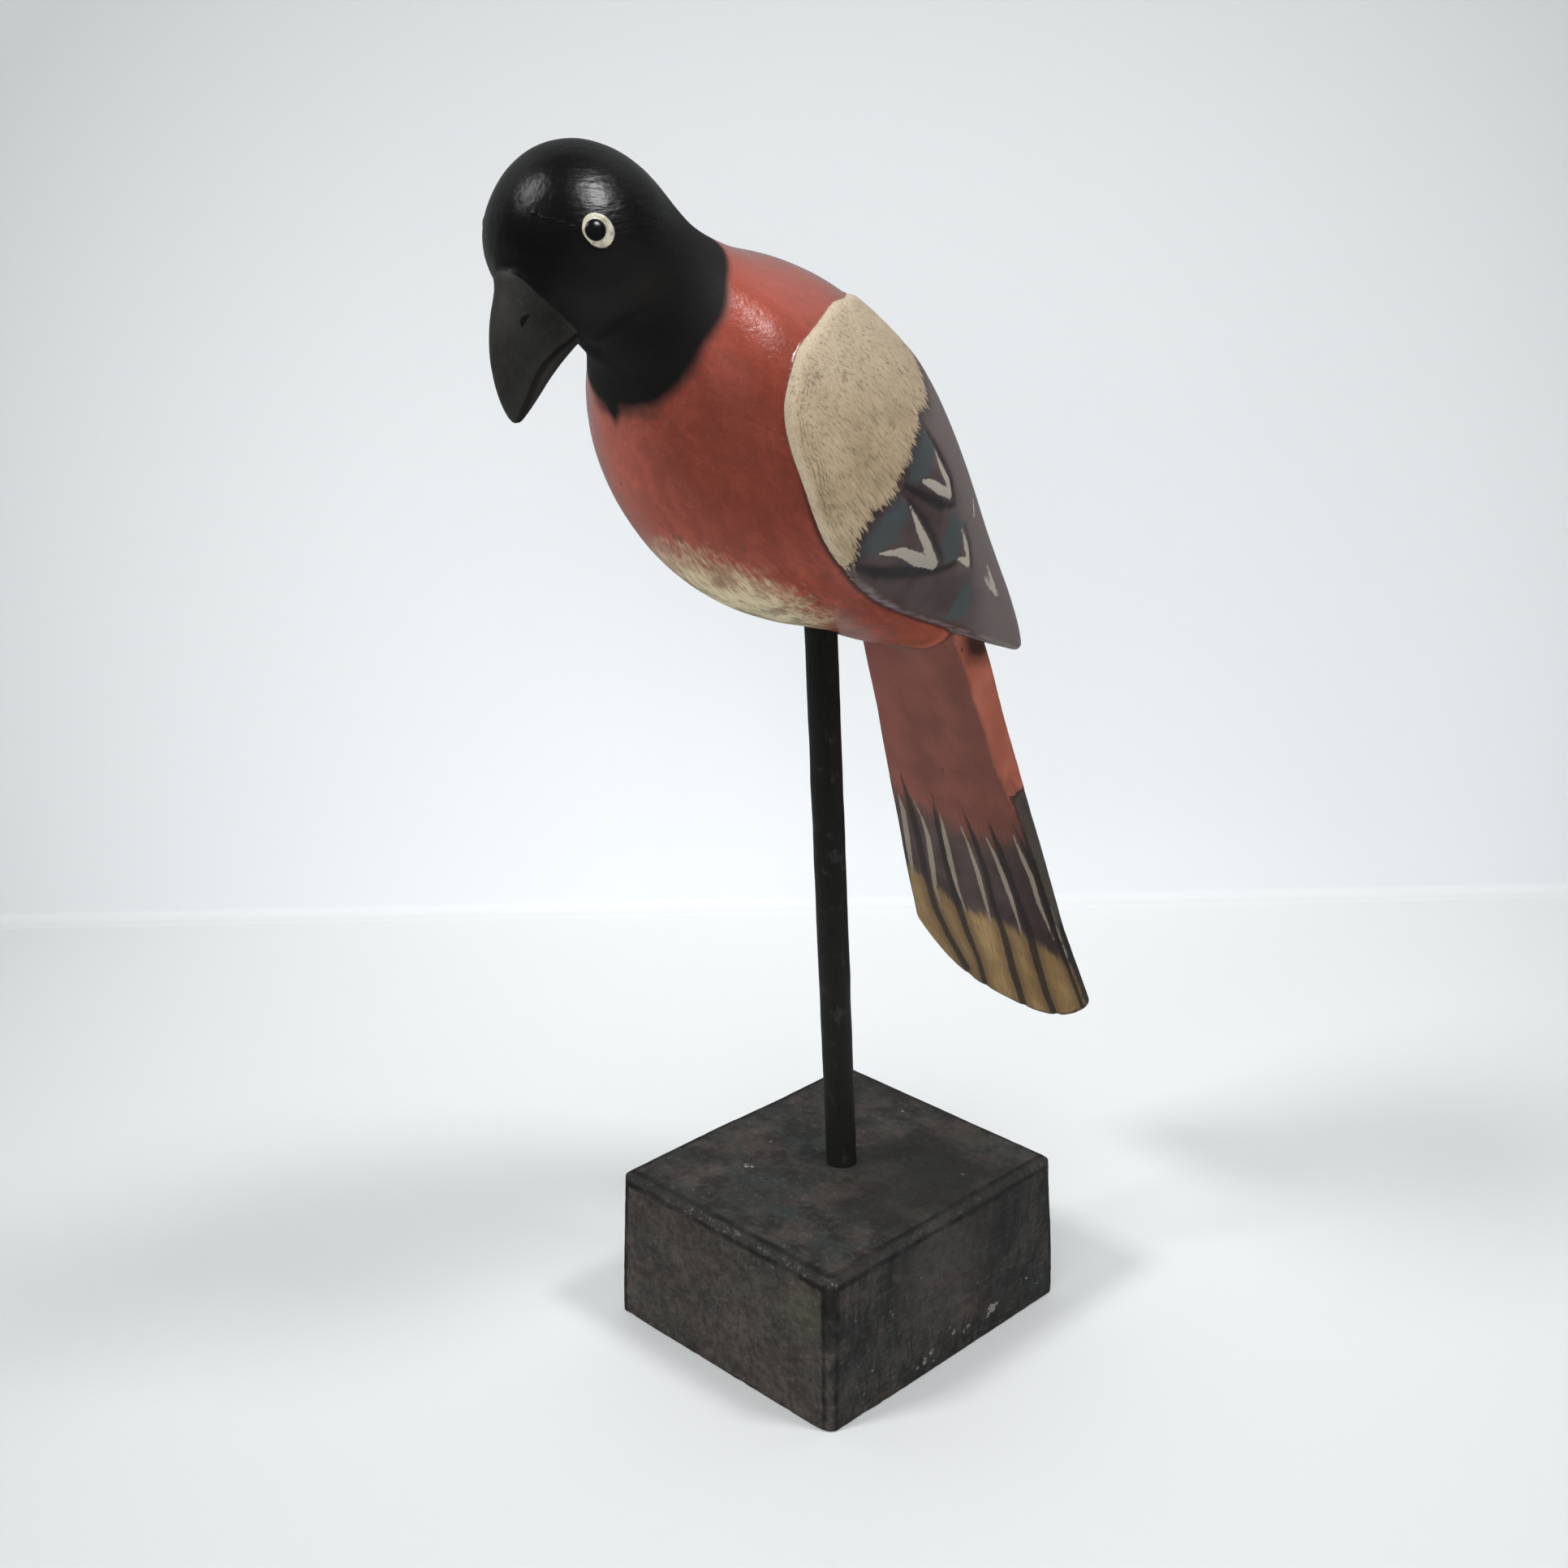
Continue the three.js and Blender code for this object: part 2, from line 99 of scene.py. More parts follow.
# Depths of the marks that the carving tools left.
KNIFE_MARKS, SMALL_MARKS, SMALL_MARKS_ON_HEAD, FINE_RIPPLES = 0.16, 0.03, 0.05, 0.012

# Eyes: place on the head, ring and pupil.
EYE_PLACE, EYE_RADIUS, EYE_DEPTH, EYE_STAND = (16.15, -84.0, 279.35), 3.48, 1.4, 0.42
EYE_NARROWING, EYE_LEAN = 0.86, 20.0
PUPIL_RADIUS, PUPIL_STAND, PUPIL_SHIFT = 2.05, 0.9, (0.62, -0.15)

# Rod and plinth.
ROD_DIAMETER, ROD_FOOT_Y, ROD_LEAN, ROD_FOOT_Z, ROD_TOP_Z = 7.8, 1.0, 3.2, 26.0, 202.0
HOLE_CLEARANCE, HOLE_ROUNDING = 0.25, 0.6
PLINTH_WIDTH, PLINTH_LENGTH, PLINTH_HEIGHT, PLINTH_CHAMFER, PLINTH_FLARE = 75.0, 85.0, 41.0, 2.0, 1.2
# How far its faces wander, how deep its edges are knocked and its skin pitted, and what it loses to both.
PLINTH_WANDER, PLINTH_KNOCKS, PLINTH_PITS, PLINTH_LOSS = 0.35, 0.55, 0.05, 0.3

# Painted marks

# Chips in the plinth's paint: x, y, z and half width.
PLINTH_CHIPS = [
    (37.6, -7.4, 36.8, 0.3), (37.9, -10, 28.1, 0.5), (37.9, -9, 29, 0.4), (38.2, 11.6, 16.5, 0.5),
    (38.2, 11.8, 17.9, 0.3), (38.5, 17.1, 6.7, 1.5), (38.5, 18.9, 7.5, 0.8), (38.5, 15.7, 5.6, 0.8),
    (38, -21.9, 23.8, 0.45), (38, -20.7, 22.8, 0.4), (37.9, -33.8, 27.1, 0.4), (38, -26.8, 22.5, 0.3),
    (38.2, -19, 16.7, 0.35), (38.4, 0.2, 9.2, 0.5), (38.5, 1.7, 7, 0.7), (38.6, 5.9, 5, 0.6),
    (38.5, 7.7, 6, 0.8), (38.4, -20.3, 9.4, 0.3), (38.5, -7.1, 5.7, 0.9), (38.6, -9.5, 4.3, 0.8),
    (38.6, -12.2, 3.8, 0.5), (38.6, -6.3, 2.5, 0.4), (38.4, -28.2, 10.8, 0.4), (38.4, -35.2, 9.9, 0.4),
    (38.5, -31.4, 5.6, 0.35), (38.4, 30.8, 9.4, 0.5), (38.5, 34.9, 6, 0.5), (37.7, -10.8, 34.7, 0.3),
    (-15.8, -17.9, 41, 1), (-14.6, -17.2, 41, 0.6), (-16.8, -35.8, 41, 0.45), (-20.4, -4.9, 41, 0.5),
    (-6.4, 31.8, 41, 0.5), (26.6, 17.8, 41, 0.4),
]
# Stretches of the plinth's top edges that are worn pale: both ends and the half width.
WORN_EDGES = [
    ((-12.0, -42.0, 40.4), (5.0, -42.0, 40.4), 1.3), ((12.6, -42.0, 40.2), (29.0, -42.0, 40.2), 1.0),
    ((35.5, -41.5, 40.4), (36.8, -40.5, 40.0), 1.2), ((31.0, 41.0, 40.2), (37.0, 40.0, 38.0), 1.0),
]

# The hood's edge bends away from a plane by these distances: (z, distance).
HOOD_BEND = [(239, 1.0), (241, 1.0), (243, 0.3), (249, 0.1), (256, -1.1), (262, -0.6), (268, -0.5),
             (274, 1.4)]
# The plane itself, as a slope and a point in (y, z), how far back the edge lies on the right, and a drip.
HOOD_SLOPE, HOOD_AT, HOOD_RIGHT = (-0.886, 0.465), (-47.7, 274.7), 1.4
HOOD_DRIP_X, HOOD_DRIP_WIDTH, HOOD_DRIP_LENGTH = -4.6, 1.6, 1.3
# The belly's cream starts at this plane, and further down behind.
BELLY_SLOPE, BELLY_AT, BELLY_REAR = (0.5004, 0.8658), (-50, 210), 26

# Strokes on the wing in side view: (y, z, half width) along each stroke.
PALE_STROKES = [
    [(-18.4, 220.2, 0.3), (-14.3, 215.0, 1.0), (-9.2, 209.9, 1.3), (-2.9, 203.8, 0.9)],
    [(-2.9, 203.8, 0.9), (-11.0, 206.9, 1.5), (-19.0, 210.3, 1.1), (-25.3, 210.9, 0.3)],
    [(-7.1, 230.3, 0.3), (-5.0, 226.5, 0.9), (-1.7, 222.9, 1.1), (-0.8, 219.6, 0.9)],
    [(-0.8, 219.6, 0.9), (-6.5, 222.0, 1.2), (-10.3, 223.8, 1.0), (-13.9, 225.0, 0.4)],
    [(5.6, 210.7, 0.2), (8.7, 206.3, 0.9), (11.5, 201.0, 0.5)],
    [(11.5, 201.0, 0.5), (8.8, 202.7, 0.8), (5.9, 204.0, 0.4)],
    [(19.2, 200.4, 0.2), (22.3, 195.9, 0.6), (26.7, 190.5, 0.3)],
    [(26.7, 190.5, 0.3), (22.8, 193.6, 0.6), (18.9, 196.8, 0.3)],
    [(12.8, 216.0, 0.3), (12.4, 212.5, 0.5)],
]
# Dark bands under the V marks, and painted shadows beside the V arms.
DARK_BANDS_AND_SHADOWS = [
    [(-30.5, 208.6, 0.6), (-22.8, 206.0, 1.5), (-13.4, 204.6, 1.6), (-1.3, 202.4, 1.0), (5.0, 202.8, 0.5)],
    [(-20.2, 224.8, 0.8), (-13.0, 221.6, 1.3), (-5.4, 218.4, 1.3), (2.2, 216.8, 0.6)],
    [(-21.5, 224.0, 0.4), (-12.6, 216.6, 0.8), (-6.8, 211.4, 0.8), (-0.6, 204.8, 0.5)],
    [(-10.0, 236.0, 0.4), (-3.2, 227.6, 0.8), (0.4, 223.0, 0.8), (1.6, 218.0, 0.5)],
    [(7.5, 211.5, 0.2), (11.0, 206.0, 0.5), (13.0, 200.5, 0.3)],
]
SLATE_PATCHES = [
    [(-24.0, 223.5), (-18.8, 220.6), (-21.0, 213.8), (-26.0, 210.6), (-32.6, 212.4)],
    [(-12.0, 238.6), (-7.0, 230.6), (-10.6, 225.6), (-18.8, 225.0), (-19.6, 231.0)],
    [(0.5, 216.5), (7.0, 211.4), (6.0, 204.2), (1.8, 202.8), (-3.0, 209.0)],
    [(10.0, 198.0), (16.5, 194.0), (16.0, 187.0), (9.5, 187.4)],
]
# The cream shoulder ends along this line, (y, z) from the back to the lower edge.
CREAM_END = [(6.0, 262.0), (-2.0, 246.0), (-5.9, 239.3), (-11.0, 238.6), (-13.5, 235.5), (-17.6, 231.0),
             (-22.6, 226.4), (-24.0, 223.6), (-29.8, 220.6), (-32.0, 214.6), (-30.4, 208.3), (-27.0, 202.0)]
BEHIND_CREAM = [(-27.0, 160.0), (60.0, 160.0), (40.0, 262.0)]
# Quill lines on the tail: (across, along, half width).
PALE_QUILLS = [
    [(-20.0, 54.3, 0.2), (-19.9, 59.7, 0.91), (-21.4, 69.0, 0.98), (-22.7, 77.7, 0.78), (-23.6, 84.0, 0.2)],
    [(-15.1, 53.0, 0.1), (-13.5, 59.9, 0.45), (-13.3, 67.3, 0.91), (-14.5, 75.9, 1.04), (-16.2, 85.6, 0.65),
     (-16.0, 92.5, 0.15)],
    [(-6.0, 55.0, 0.1), (-6.7, 64.7, 0.85), (-7.2, 73.0, 0.98), (-7.5, 82.8, 0.65), (-6.7, 92.6, 0.15)],
    [(-0.4, 55.3, 0.1), (1.1, 65.1, 0.52), (1.9, 74.3, 0.85), (1.8, 83.3, 0.72), (1.3, 96.1, 0.15)],
    [(8.0, 59.0, 0.1), (9.7, 65.8, 0.65), (10.8, 72.8, 0.91), (11.6, 80.1, 0.78), (12.0, 94.5, 0.15)],
    [(18.1, 56.0, 0.1), (19.5, 64.2, 0.78), (20.8, 70.3, 0.91), (21.1, 78.3, 0.78), (23.0, 90.0, 0.2)],
    [(21.3, 45.5, 0.1), (22.0, 52.0, 0.2), (23.7, 64.0, 0.39), (24.6, 73.2, 0.59), (25.4, 79.0, 0.65),
     (25.4, 87.1, 0.39), (26.2, 96.0, 0.3), (26.6, 101.0, 0.1)],
]
DARK_QUILLS = [
    [(-16.6, 47.0, 0.1), (-16.5, 56.0, 1.12), (-16.9, 67.6, 1.38), (-18.2, 81.9, 1.12), (-18.5, 92.8, 1.28),
     (-16.8, 101.6, 1.28), (-13.2, 112.5, 1.44)],
    [(-6.9, 50.5, 0.1), (-8.3, 62.0, 1.0), (-8.9, 75.4, 1.12), (-9.1, 89.6, 1.28), (-8.7, 98.8, 1.12),
     (-7.4, 107.1, 0.96), (-7.4, 119.0, 0.96)],
    [(2.6, 53.0, 0.1), (3.9, 62.2, 1.0), (4.9, 73.3, 1.12), (4.6, 84.4, 1.0), (5.2, 94.7, 1.28),
     (4.9, 106.3, 1.44), (5.4, 121.0, 1.28)],
    [(10.6, 54.0, 0.1), (12.1, 63.9, 1.38), (13.7, 76.0, 1.12), (14.9, 89.3, 1.44), (14.7, 100.6, 1.44),
     (15.1, 112.7, 1.28), (16.6, 121.0, 1.28)],
    [(18.9, 52.5, 0.1), (22.2, 64.0, 0.88), (23.2, 72.0, 1.0), (24.0, 84.0, 0.88), (25.3, 96.0, 0.8),
     (26.6, 108.0, 0.8), (27.4, 118.0, 0.8)],
]
# The left edge's brighter strip begins across the board at these places: (along, across).
STRIP_EDGE = [(10, 17.0), (16, 16.9), (25, 17.7), (34, 17.6), (38, 18.6), (44, 19.7), (47.4, 20.6),
              (56, 22.5), (120, 30.3)]
# The dark tips and the tan ends start along these lines: (across, along).
TAN_START = [(-30, 78.0), (-22.3, 80.6), (-14, 84.8), (-9.7, 88.8), (-4, 90.1), (1.8, 89.5), (7, 90.6),
             (14.1, 92.3), (19.6, 94.6), (24.3, 97.1), (30, 101.0)]
DARK_START = [(-30, 47.0), (-19.6, 54.2), (-13.2, 56.4), (-7.3, 58.1), (-2.3, 60.0), (4.3, 60.7),
              (11.1, 60.7), (17.8, 58.1), (30, 52.0)]


# Fields: signed distances in millimetres, negative inside

def ramp(low, high, value):
    """0 below low, 1 above high, and smooth between them."""
    share = np.clip((value - low) / (high - low), 0, 1)
    return share * share * (3 - 2 * share)


def interp(value, table):
    return np.interp(value, *zip(*table))


def joined(a, b, fillet):
    """Union of two fields with a fillet."""
    overlap = np.maximum(fillet - np.abs(a - b), 0) / fillet
    return np.minimum(a, b) - overlap * overlap * fillet / 4


def cut(a, b, rounding):
    """What two fields share, with its edge rounded."""
    return -joined(-a, -b, rounding)


def lumps(x, y, z, size, seed):
    """Smooth random swellings between -1 and 1, about this far apart."""
    places = [c / size + seed * 7.31 for c in (x, y, z)]
    cells = [np.floor(p) for p in places]
    parts = [p - c for p, c in zip(places, cells)]
    parts = [p * p * (3 - 2 * p) for p in parts]
    cells = [c.astype(np.int64) for c in cells]
    total = np.zeros(np.shape(x))
    for corner in product((0, 1), repeat=3):
        i, j, k = (c + d for c, d in zip(cells, corner))
        mixed = (i * 374761393 + j * 668265263 + k * 1442695041) & 0xFFFFFFFF
        mixed = ((mixed ^ (mixed >> 13)) * 1274126177) & 0xFFFFFFFF
        mixed = (mixed ^ (mixed >> 16)) & 0xFFFF
        weight = np.ones(np.shape(x))
        for part, far in zip(parts, corner):
            weight = weight * (part if far else 1 - part)
        total += weight * (mixed / 32767.5 - 1)
    return total


def mass(x, y, z, shape):
    """One ellipsoid mass."""
    cy, cz, across, along, through, pitch = shape
    c, s = math.cos(math.radians(pitch)), math.sin(math.radians(pitch))
    u = c * (y - cy) + s * (z - cz)
    v = c * (z - cz) - s * (y - cy)
    unit = np.sqrt((x / across) ** 2 + (u / along) ** 2 + (v / through) ** 2) + 1e-9
    slope = np.sqrt((x / across**2) ** 2 + (u / along**2) ** 2 + (v / through**2) ** 2) + 1e-9
    return unit * (unit - 1) / slope


def line_distance(point, path):
    """Distance from points to a path of straight lines, in two or three dimensions."""
    best = None
    for a, b in zip(path, path[1:]):
        span = [q - p for p, q in zip(a, b)]
        away = [c - p for c, p in zip(point, a)]
        share = np.clip(sum(w * s for w, s in zip(away, span)) / sum(s * s for s in span), 0, 1)
        gap = sum((w - s * share) ** 2 for w, s in zip(away, span))
        best = gap if best is None else np.minimum(best, gap)
    return np.sqrt(best)


def stroke_inside(u, v, stroke):
    """How far inside a brush stroke of changing width each point lies."""
    best = None
    for (ua, va, ra), (ub, vb, rb) in zip(stroke, stroke[1:]):
        du, dv = ub - ua, vb - va
        share = np.clip(((u - ua) * du + (v - va) * dv) / (du * du + dv * dv), 0, 1)
        gap = np.hypot(u - ua - du * share, v - va - dv * share)
        inside = ra + (rb - ra) * share - gap
        best = inside if best is None else np.maximum(best, inside)
    return best


def strokes_inside(u, v, strokes):
    return np.max([stroke_inside(u, v, s) for s in strokes], axis=0)


def outline_distance(u, v, corners):
    """Signed distance to a closed outline, negative inside."""
    corners = [np.array(c, float) for c in corners]
    gap = np.full(np.shape(u), 1e9)
    side = np.ones(np.shape(u))
    for a, b in zip(corners, corners[-1:] + corners[:-1]):
        eu, ev = b - a
        wu, wv = u - a[0], v - a[1]
        share = np.clip((wu * eu + wv * ev) / (eu * eu + ev * ev), 0, 1)
        gap = np.minimum(gap, np.hypot(wu - eu * share, wv - ev * share))
        above, below, left = v >= a[1], v < b[1], eu * wv > ev * wu
        side = np.where((above & below & left) | (~above & ~below & ~left), -side, side)
    return side * gap


def flowing(points, steps):
    """A smooth curve through points."""
    points = np.array(points, float)
    padded = np.vstack([points[:1], points, points[-1:]])
    curve = []
    for i in range(steps + 1):
        t = (len(points) - 1) * i / steps
        k = min(int(t), len(points) - 2)
        w = t - k
        before, a, b, after = padded[k:k + 4]
        leave, arrive = (b - before) / 2, (after - a) / 2
        curve.append((2 * a - 2 * b + leave + arrive) * w**3 + (-3 * a + 3 * b - 2 * leave - arrive) * w**2
                     + leave * w + a)
    return np.array(curve)


class SideMap:
    """Signed distance to the wing's side outline, worked out once on a grid."""
    STEP = 0.5

    def __init__(self, corners, low, high):
        self.low = low
        u = np.arange(low[0], high[0], self.STEP)
        v = np.arange(low[1], high[1], self.STEP)
        self.values = outline_distance(*np.meshgrid(u, v, indexing="ij"), corners)

    def __call__(self, y, z):
        rows, columns = self.values.shape
        i = np.clip((y - self.low[0]) / self.STEP, 0, rows - 2.001)
        j = np.clip((z - self.low[1]) / self.STEP, 0, columns - 2.001)
        i0, j0 = i.astype(int), j.astype(int)
        a, b = i - i0, j - j0
        near = self.values[i0, j0] * (1 - a) + self.values[i0 + 1, j0] * a
        far = self.values[i0, j0 + 1] * (1 - a) + self.values[i0 + 1, j0 + 1] * a
        return near * (1 - b) + far * b


wing_outline = SideMap(np.vstack([flowing(WING_EDGE, 60), WING_BEHIND]), (-112, 40), (80, 312))


def body_field(x, y, z):
    """Body, neck and head as one flowing mass."""
    trunk = joined(mass(x, y, z, CHEST), mass(x, y, z, BACK), BACK_FILLET)
    trunk = joined(trunk, mass(x, y, z, RUMP), RUMP_FILLET)
    trunk = joined(trunk, mass(x, y, z, NECK), NECK_FILLET)
    head = joined(mass(x, y, z, SKULL), mass(x, y, z, BROW), BROW_FILLET)
    return joined(trunk, head, HEAD_FILLET)


def wing_field(x, y, z, body):
    """Both wings: the body's own shape stood proud and cut to the edge, with scalloped feathers."""
    blade = mass(np.abs(x) - QUILL_X, y, z, QUILLS)
    relief = WING_TOP_RELIEF + (WING_RELIEF - WING_TOP_RELIEF) * (1 - ramp(245, 262, z))
    wing = joined(body - relief, blade, QUILL_FILLET)
    wing = cut(wing, wing_outline(y, z), WING_EDGE_ROUNDING)
    upper, lower = WING_ROUNDING
    parting = WING_PARTING + upper * ramp(243, 263, z) ** 2 + lower * ramp(196, 174, z) ** 2
    wing = cut(wing, parting - np.abs(x), PARTING_ROUNDING)
    return wing + SCALLOP_DEPTH * ramp(-1.6, 0.8, strokes_inside(y, z, DARK_BANDS_AND_SHADOWS))


def beak_place(y, z):
    """Along the beak from 0 to 1, out towards its ridge in millimetres, and the beak's length."""
    down_y, down_z = BEAK_TIP[0] - BEAK_BASE[0], BEAK_TIP[1] - BEAK_BASE[1]
    length = math.hypot(down_y, down_z)
    down_y, down_z = down_y / length, down_z / length
    along = ((y - BEAK_BASE[0]) * down_y + (z - BEAK_BASE[1]) * down_z) / length
    ridge = (y - BEAK_BASE[0]) * down_z - (z - BEAK_BASE[1]) * down_y
    return along, ridge - BEAK_BEND * 4 * along * (1 - along), length


def below_mouth(along, ridge):
    """How far below the line of the mouth each point lies."""
    return interp(along, MOUTH) - ridge


def beak_field(x, y, z):
    """A blunt bent cone, narrower below the mouth, with a groove along it."""
    along, ridge, length = beak_place(y, z)
    t = np.clip(along, 0, 0.9999)
    taper = (1 - t**BEAK_POWER) ** BEAK_BLUNTNESS
    mouth = below_mouth(along, ridge)
    narrowing = 1 - MOUTH_NARROWING * ramp(-0.1, 0.8, mouth)
    groove = MOUTH_GROOVE * np.exp(-(((mouth - 0.3) / 0.5) ** 2)) * ramp(0.98, 0.9, along)
    unit = np.hypot(x / (BEAK_HALF_WIDTH * narrowing * taper), ridge / (BEAK_HALF_DEPTH * taper)) + 1e-9
    reach = np.hypot(x, ridge) + 1e-9
    field = reach * (1 - 1 / unit) + groove
    tip = np.sqrt(x * x + ridge * ridge + ((along - 1) * length) ** 2)
    return np.maximum(np.where(along > 0.9999, tip, field), -along * length)


def tail_place(x, y, z):
    """Across, along and out through the tail board, in millimetres."""
    slope, lean = math.radians(TAIL_SLOPE), math.radians(TAIL_LEAN)
    down = np.array([math.sin(lean), math.sin(slope) * math.cos(lean), -math.cos(slope) * math.cos(lean)])
    rear = np.array([0.0, math.cos(slope), math.sin(slope)])
    side = np.cross(rear, down)
    side /= np.linalg.norm(side)
    if side[0] < 0:
        side = -side
    away = [c - r for c, r in zip((x, y, z), TAIL_ROOT)]
    return [sum(a * d for a, d in zip(away, axis)) for axis in (side, down, rear)]


def tail_half_width(along):
    return TAIL_HALF + TAIL_GAIN * np.clip(along, -10, 125)


def tail_thickness(along):
    return TAIL_THIN + (TAIL_THICK - TAIL_THIN) * np.maximum(0, 1 - along / TAIL_THIN_AT)


def tail_end(across):
    """How long the tail is at each place across, with a nick at each dark quill line."""
    end = TAIL_LENGTH + TAIL_CREST * np.exp(-(((across - 9) / 13) ** 2))
    for side, (width, power, depth) in zip((-1, 1), TAIL_CORNERS):
        end = end - depth * np.minimum((np.clip(side * across, 0, 40) / width) ** power, 1.2)
    for quill in DARK_QUILLS[:-1]:
        end = end - TAIL_NICK * np.exp(-((across - quill[-1][0]) ** 2))
    return end


def tail_field(x, y, z):
    across, along, out = tail_place(x, y, z)
    thick = tail_thickness(along)
    board = np.abs(out - thick / 2) - thick / 2
    board = cut(board, np.abs(across) - tail_half_width(along), TAIL_SIDE_ROUNDING)
    board = cut(board, (along - tail_end(across)) * 0.8, TAIL_END_ROUNDING)
    return np.maximum(board, -along - 7)


def cheek_hollow(x, y, z):
    """How far the throat is cut back behind the cheek's lower edge."""
    edge_x, edge_y, edge_z = zip(*CHEEK_EDGE)
    past_y, past_z = y - np.interp(np.abs(x), edge_x, edge_y), z - np.interp(np.abs(x), edge_x, edge_z)
    behind = CHEEK_SLOPE[0] * past_y + CHEEK_SLOPE[1] * past_z
    near = ramp(11, 4, line_distance((np.abs(x), y, z), CHEEK_EDGE)) * ramp(16.5, 11.0, np.abs(x))
    return CHEEK_STEP * near * ramp(-2.2, 3.2, behind) * ramp(10.5, 2.6, behind)


def rod_axis(z):
    """The middle of the rod at this height."""
    return 0.0, ROD_FOOT_Y - math.tan(math.radians(ROD_LEAN)) * (z - PLINTH_HEIGHT), z


def carving_parts(x, y, z):
    body = body_field(x, y, z)
    return body, wing_field(x, y, z, body), tail_field(x, y, z), beak_field(x, y, z)


def carving_field(x, y, z):
    """The whole carving, with tool marks and the rod's hole."""
    body, wing, tail, beak = carving_parts(x, y, z)
    field = joined(body + cheek_hollow(x, y, z), tail, TAIL_FILLET)
    field = np.minimum(field, wing)
    _, ridge, _ = beak_place(y, z)
    field = joined(field, beak, BEAK_FILLET + BEAK_RIDGE_FILLET * ramp(1.0, 9.0, ridge))
    on_head = ramp(-52, -66, y)
    field = field + KNIFE_MARKS * lumps(x, y, z, 17, 3)
    field = field + (SMALL_MARKS + SMALL_MARKS_ON_HEAD * on_head) * lumps(x, y, z, 6.0, 5)
    field = field + FINE_RIPPLES * (0.4 + on_head) * lumps(x, y * 0.8, z * 1.8, 2.6, 6)
    _, foot_y, foot_z = rod_axis(ROD_FOOT_Z)
    _, top_y, top_z = rod_axis(ROD_TOP_Z)
    from_rod = line_distance((x, y, z), [(0, foot_y, foot_z), (0, top_y, top_z)])
    hole = from_rod - ROD_DIAMETER / 2 - HOLE_CLEARANCE
    return cut(field, -hole, HOLE_ROUNDING)


def eye_outward():
    """Outward direction of the head at the left eye."""
    x, y, z = EYE_PLACE
    step = 0.05
    slope = [float(body_field(np.float64(x + a), np.float64(y + b), np.float64(z + c))
                   - body_field(np.float64(x - a), np.float64(y - b), np.float64(z - c)))
             for a, b, c in ((step, 0, 0), (0, step, 0), (0, 0, step))]
    return Vector(slope).normalized()


EYE_OUT = eye_outward()


def plinth_field(x, y, z):
    """The sawn block: softened, a little uneven, with chips knocked from its edges."""
    wander = PLINTH_WANDER * lumps(x, y, z, 23, 11)
    spread = PLINTH_FLARE * (1 - z / PLINTH_HEIGHT) - PLINTH_LOSS
    ax, ay = np.abs(x) - PLINTH_WIDTH / 2 - spread, np.abs(y) - PLINTH_LENGTH / 2 - spread
    top, foot = z - PLINTH_HEIGHT, -z
    diagonal = 0.7071
    sides = cut(ax, ay, 0.8)
    sides = cut(sides, (ax + ay + PLINTH_CHAMFER) * diagonal, 0.6)
    block = cut(sides, (np.maximum(ax, ay) + top + PLINTH_CHAMFER) * diagonal, 0.5)
    block = cut(block, top, 0.5)
    block = cut(block + wander * ramp(0, 3, z), foot, 0.6)
    near_edge = ramp(2.6, 0.0, plinth_edge_gap(x, y, z))
    knocks = np.maximum(lumps(x, y, z, 3.2, 21), 0) ** 2 + np.maximum(lumps(x, y, z, 7.5, 23), 0) ** 2
    return block + PLINTH_KNOCKS * knocks * near_edge + PLINTH_PITS * lumps(x, y, z, 2.0, 27)


def plinth_edge_gap(x, y, z):
    """Distance to the nearest edge line of the block."""
    spread = PLINTH_FLARE * (1 - z / PLINTH_HEIGHT)
    faces = np.sort([PLINTH_WIDTH / 2 + spread - np.abs(x), PLINTH_LENGTH / 2 + spread - np.abs(y),
                     np.minimum(z, PLINTH_HEIGHT - z)], axis=0)
    return np.hypot(np.maximum(faces[0], 0), np.maximum(faces[1], 0))


# Skins: a closed mesh over the zero surface of a field

def block_values(field, low, shape, spacing):
    """Field values on a grid. Blocks that the surface can't reach only get their sign."""
    block = CELLS_A_BLOCK
    counts = [math.ceil((n - 1) / block) for n in shape]
    axes = [low[a] + spacing * block * (np.arange(counts[a]) + 0.5) for a in range(3)]
    middles = np.meshgrid(*axes, indexing="ij")
    rough = field(*[m.ravel() for m in middles]).reshape(counts)
    values = np.repeat(np.repeat(np.repeat(np.sign(rough), block, 0), block, 1), block, 2)
    values = np.pad(values, [(0, 1)] * 3, mode="edge").astype(np.float32)
    half_diagonal, slack, margin, batch = 0.866, 1.5, 1.5, 600
    reach = half_diagonal * block * spacing * slack + margin
    steps = np.arange(block + 1)
    local = np.stack(np.meshgrid(steps, steps, steps, indexing="ij"), -1).reshape(-1, 3)
    near = np.argwhere(np.abs(rough) < reach) * block
    for start in range(0, len(near), batch):
        cells = (near[start:start + batch, None, :] + local[None]).reshape(-1, 3)
        x, y, z = (low[a] + spacing * cells[:, a] for a in range(3))
        values[cells[:, 0], cells[:, 1], cells[:, 2]] = field(x, y, z)
    return values


def slope_of(field, points, step=0.05):
    x, y, z = points.T
    return np.stack([
        field(x + step, y, z) - field(x - step, y, z),
        field(x, y + step, z) - field(x, y - step, z),
        field(x, y, z + step) - field(x, y, z - step),
    ], 1) / (2 * step)


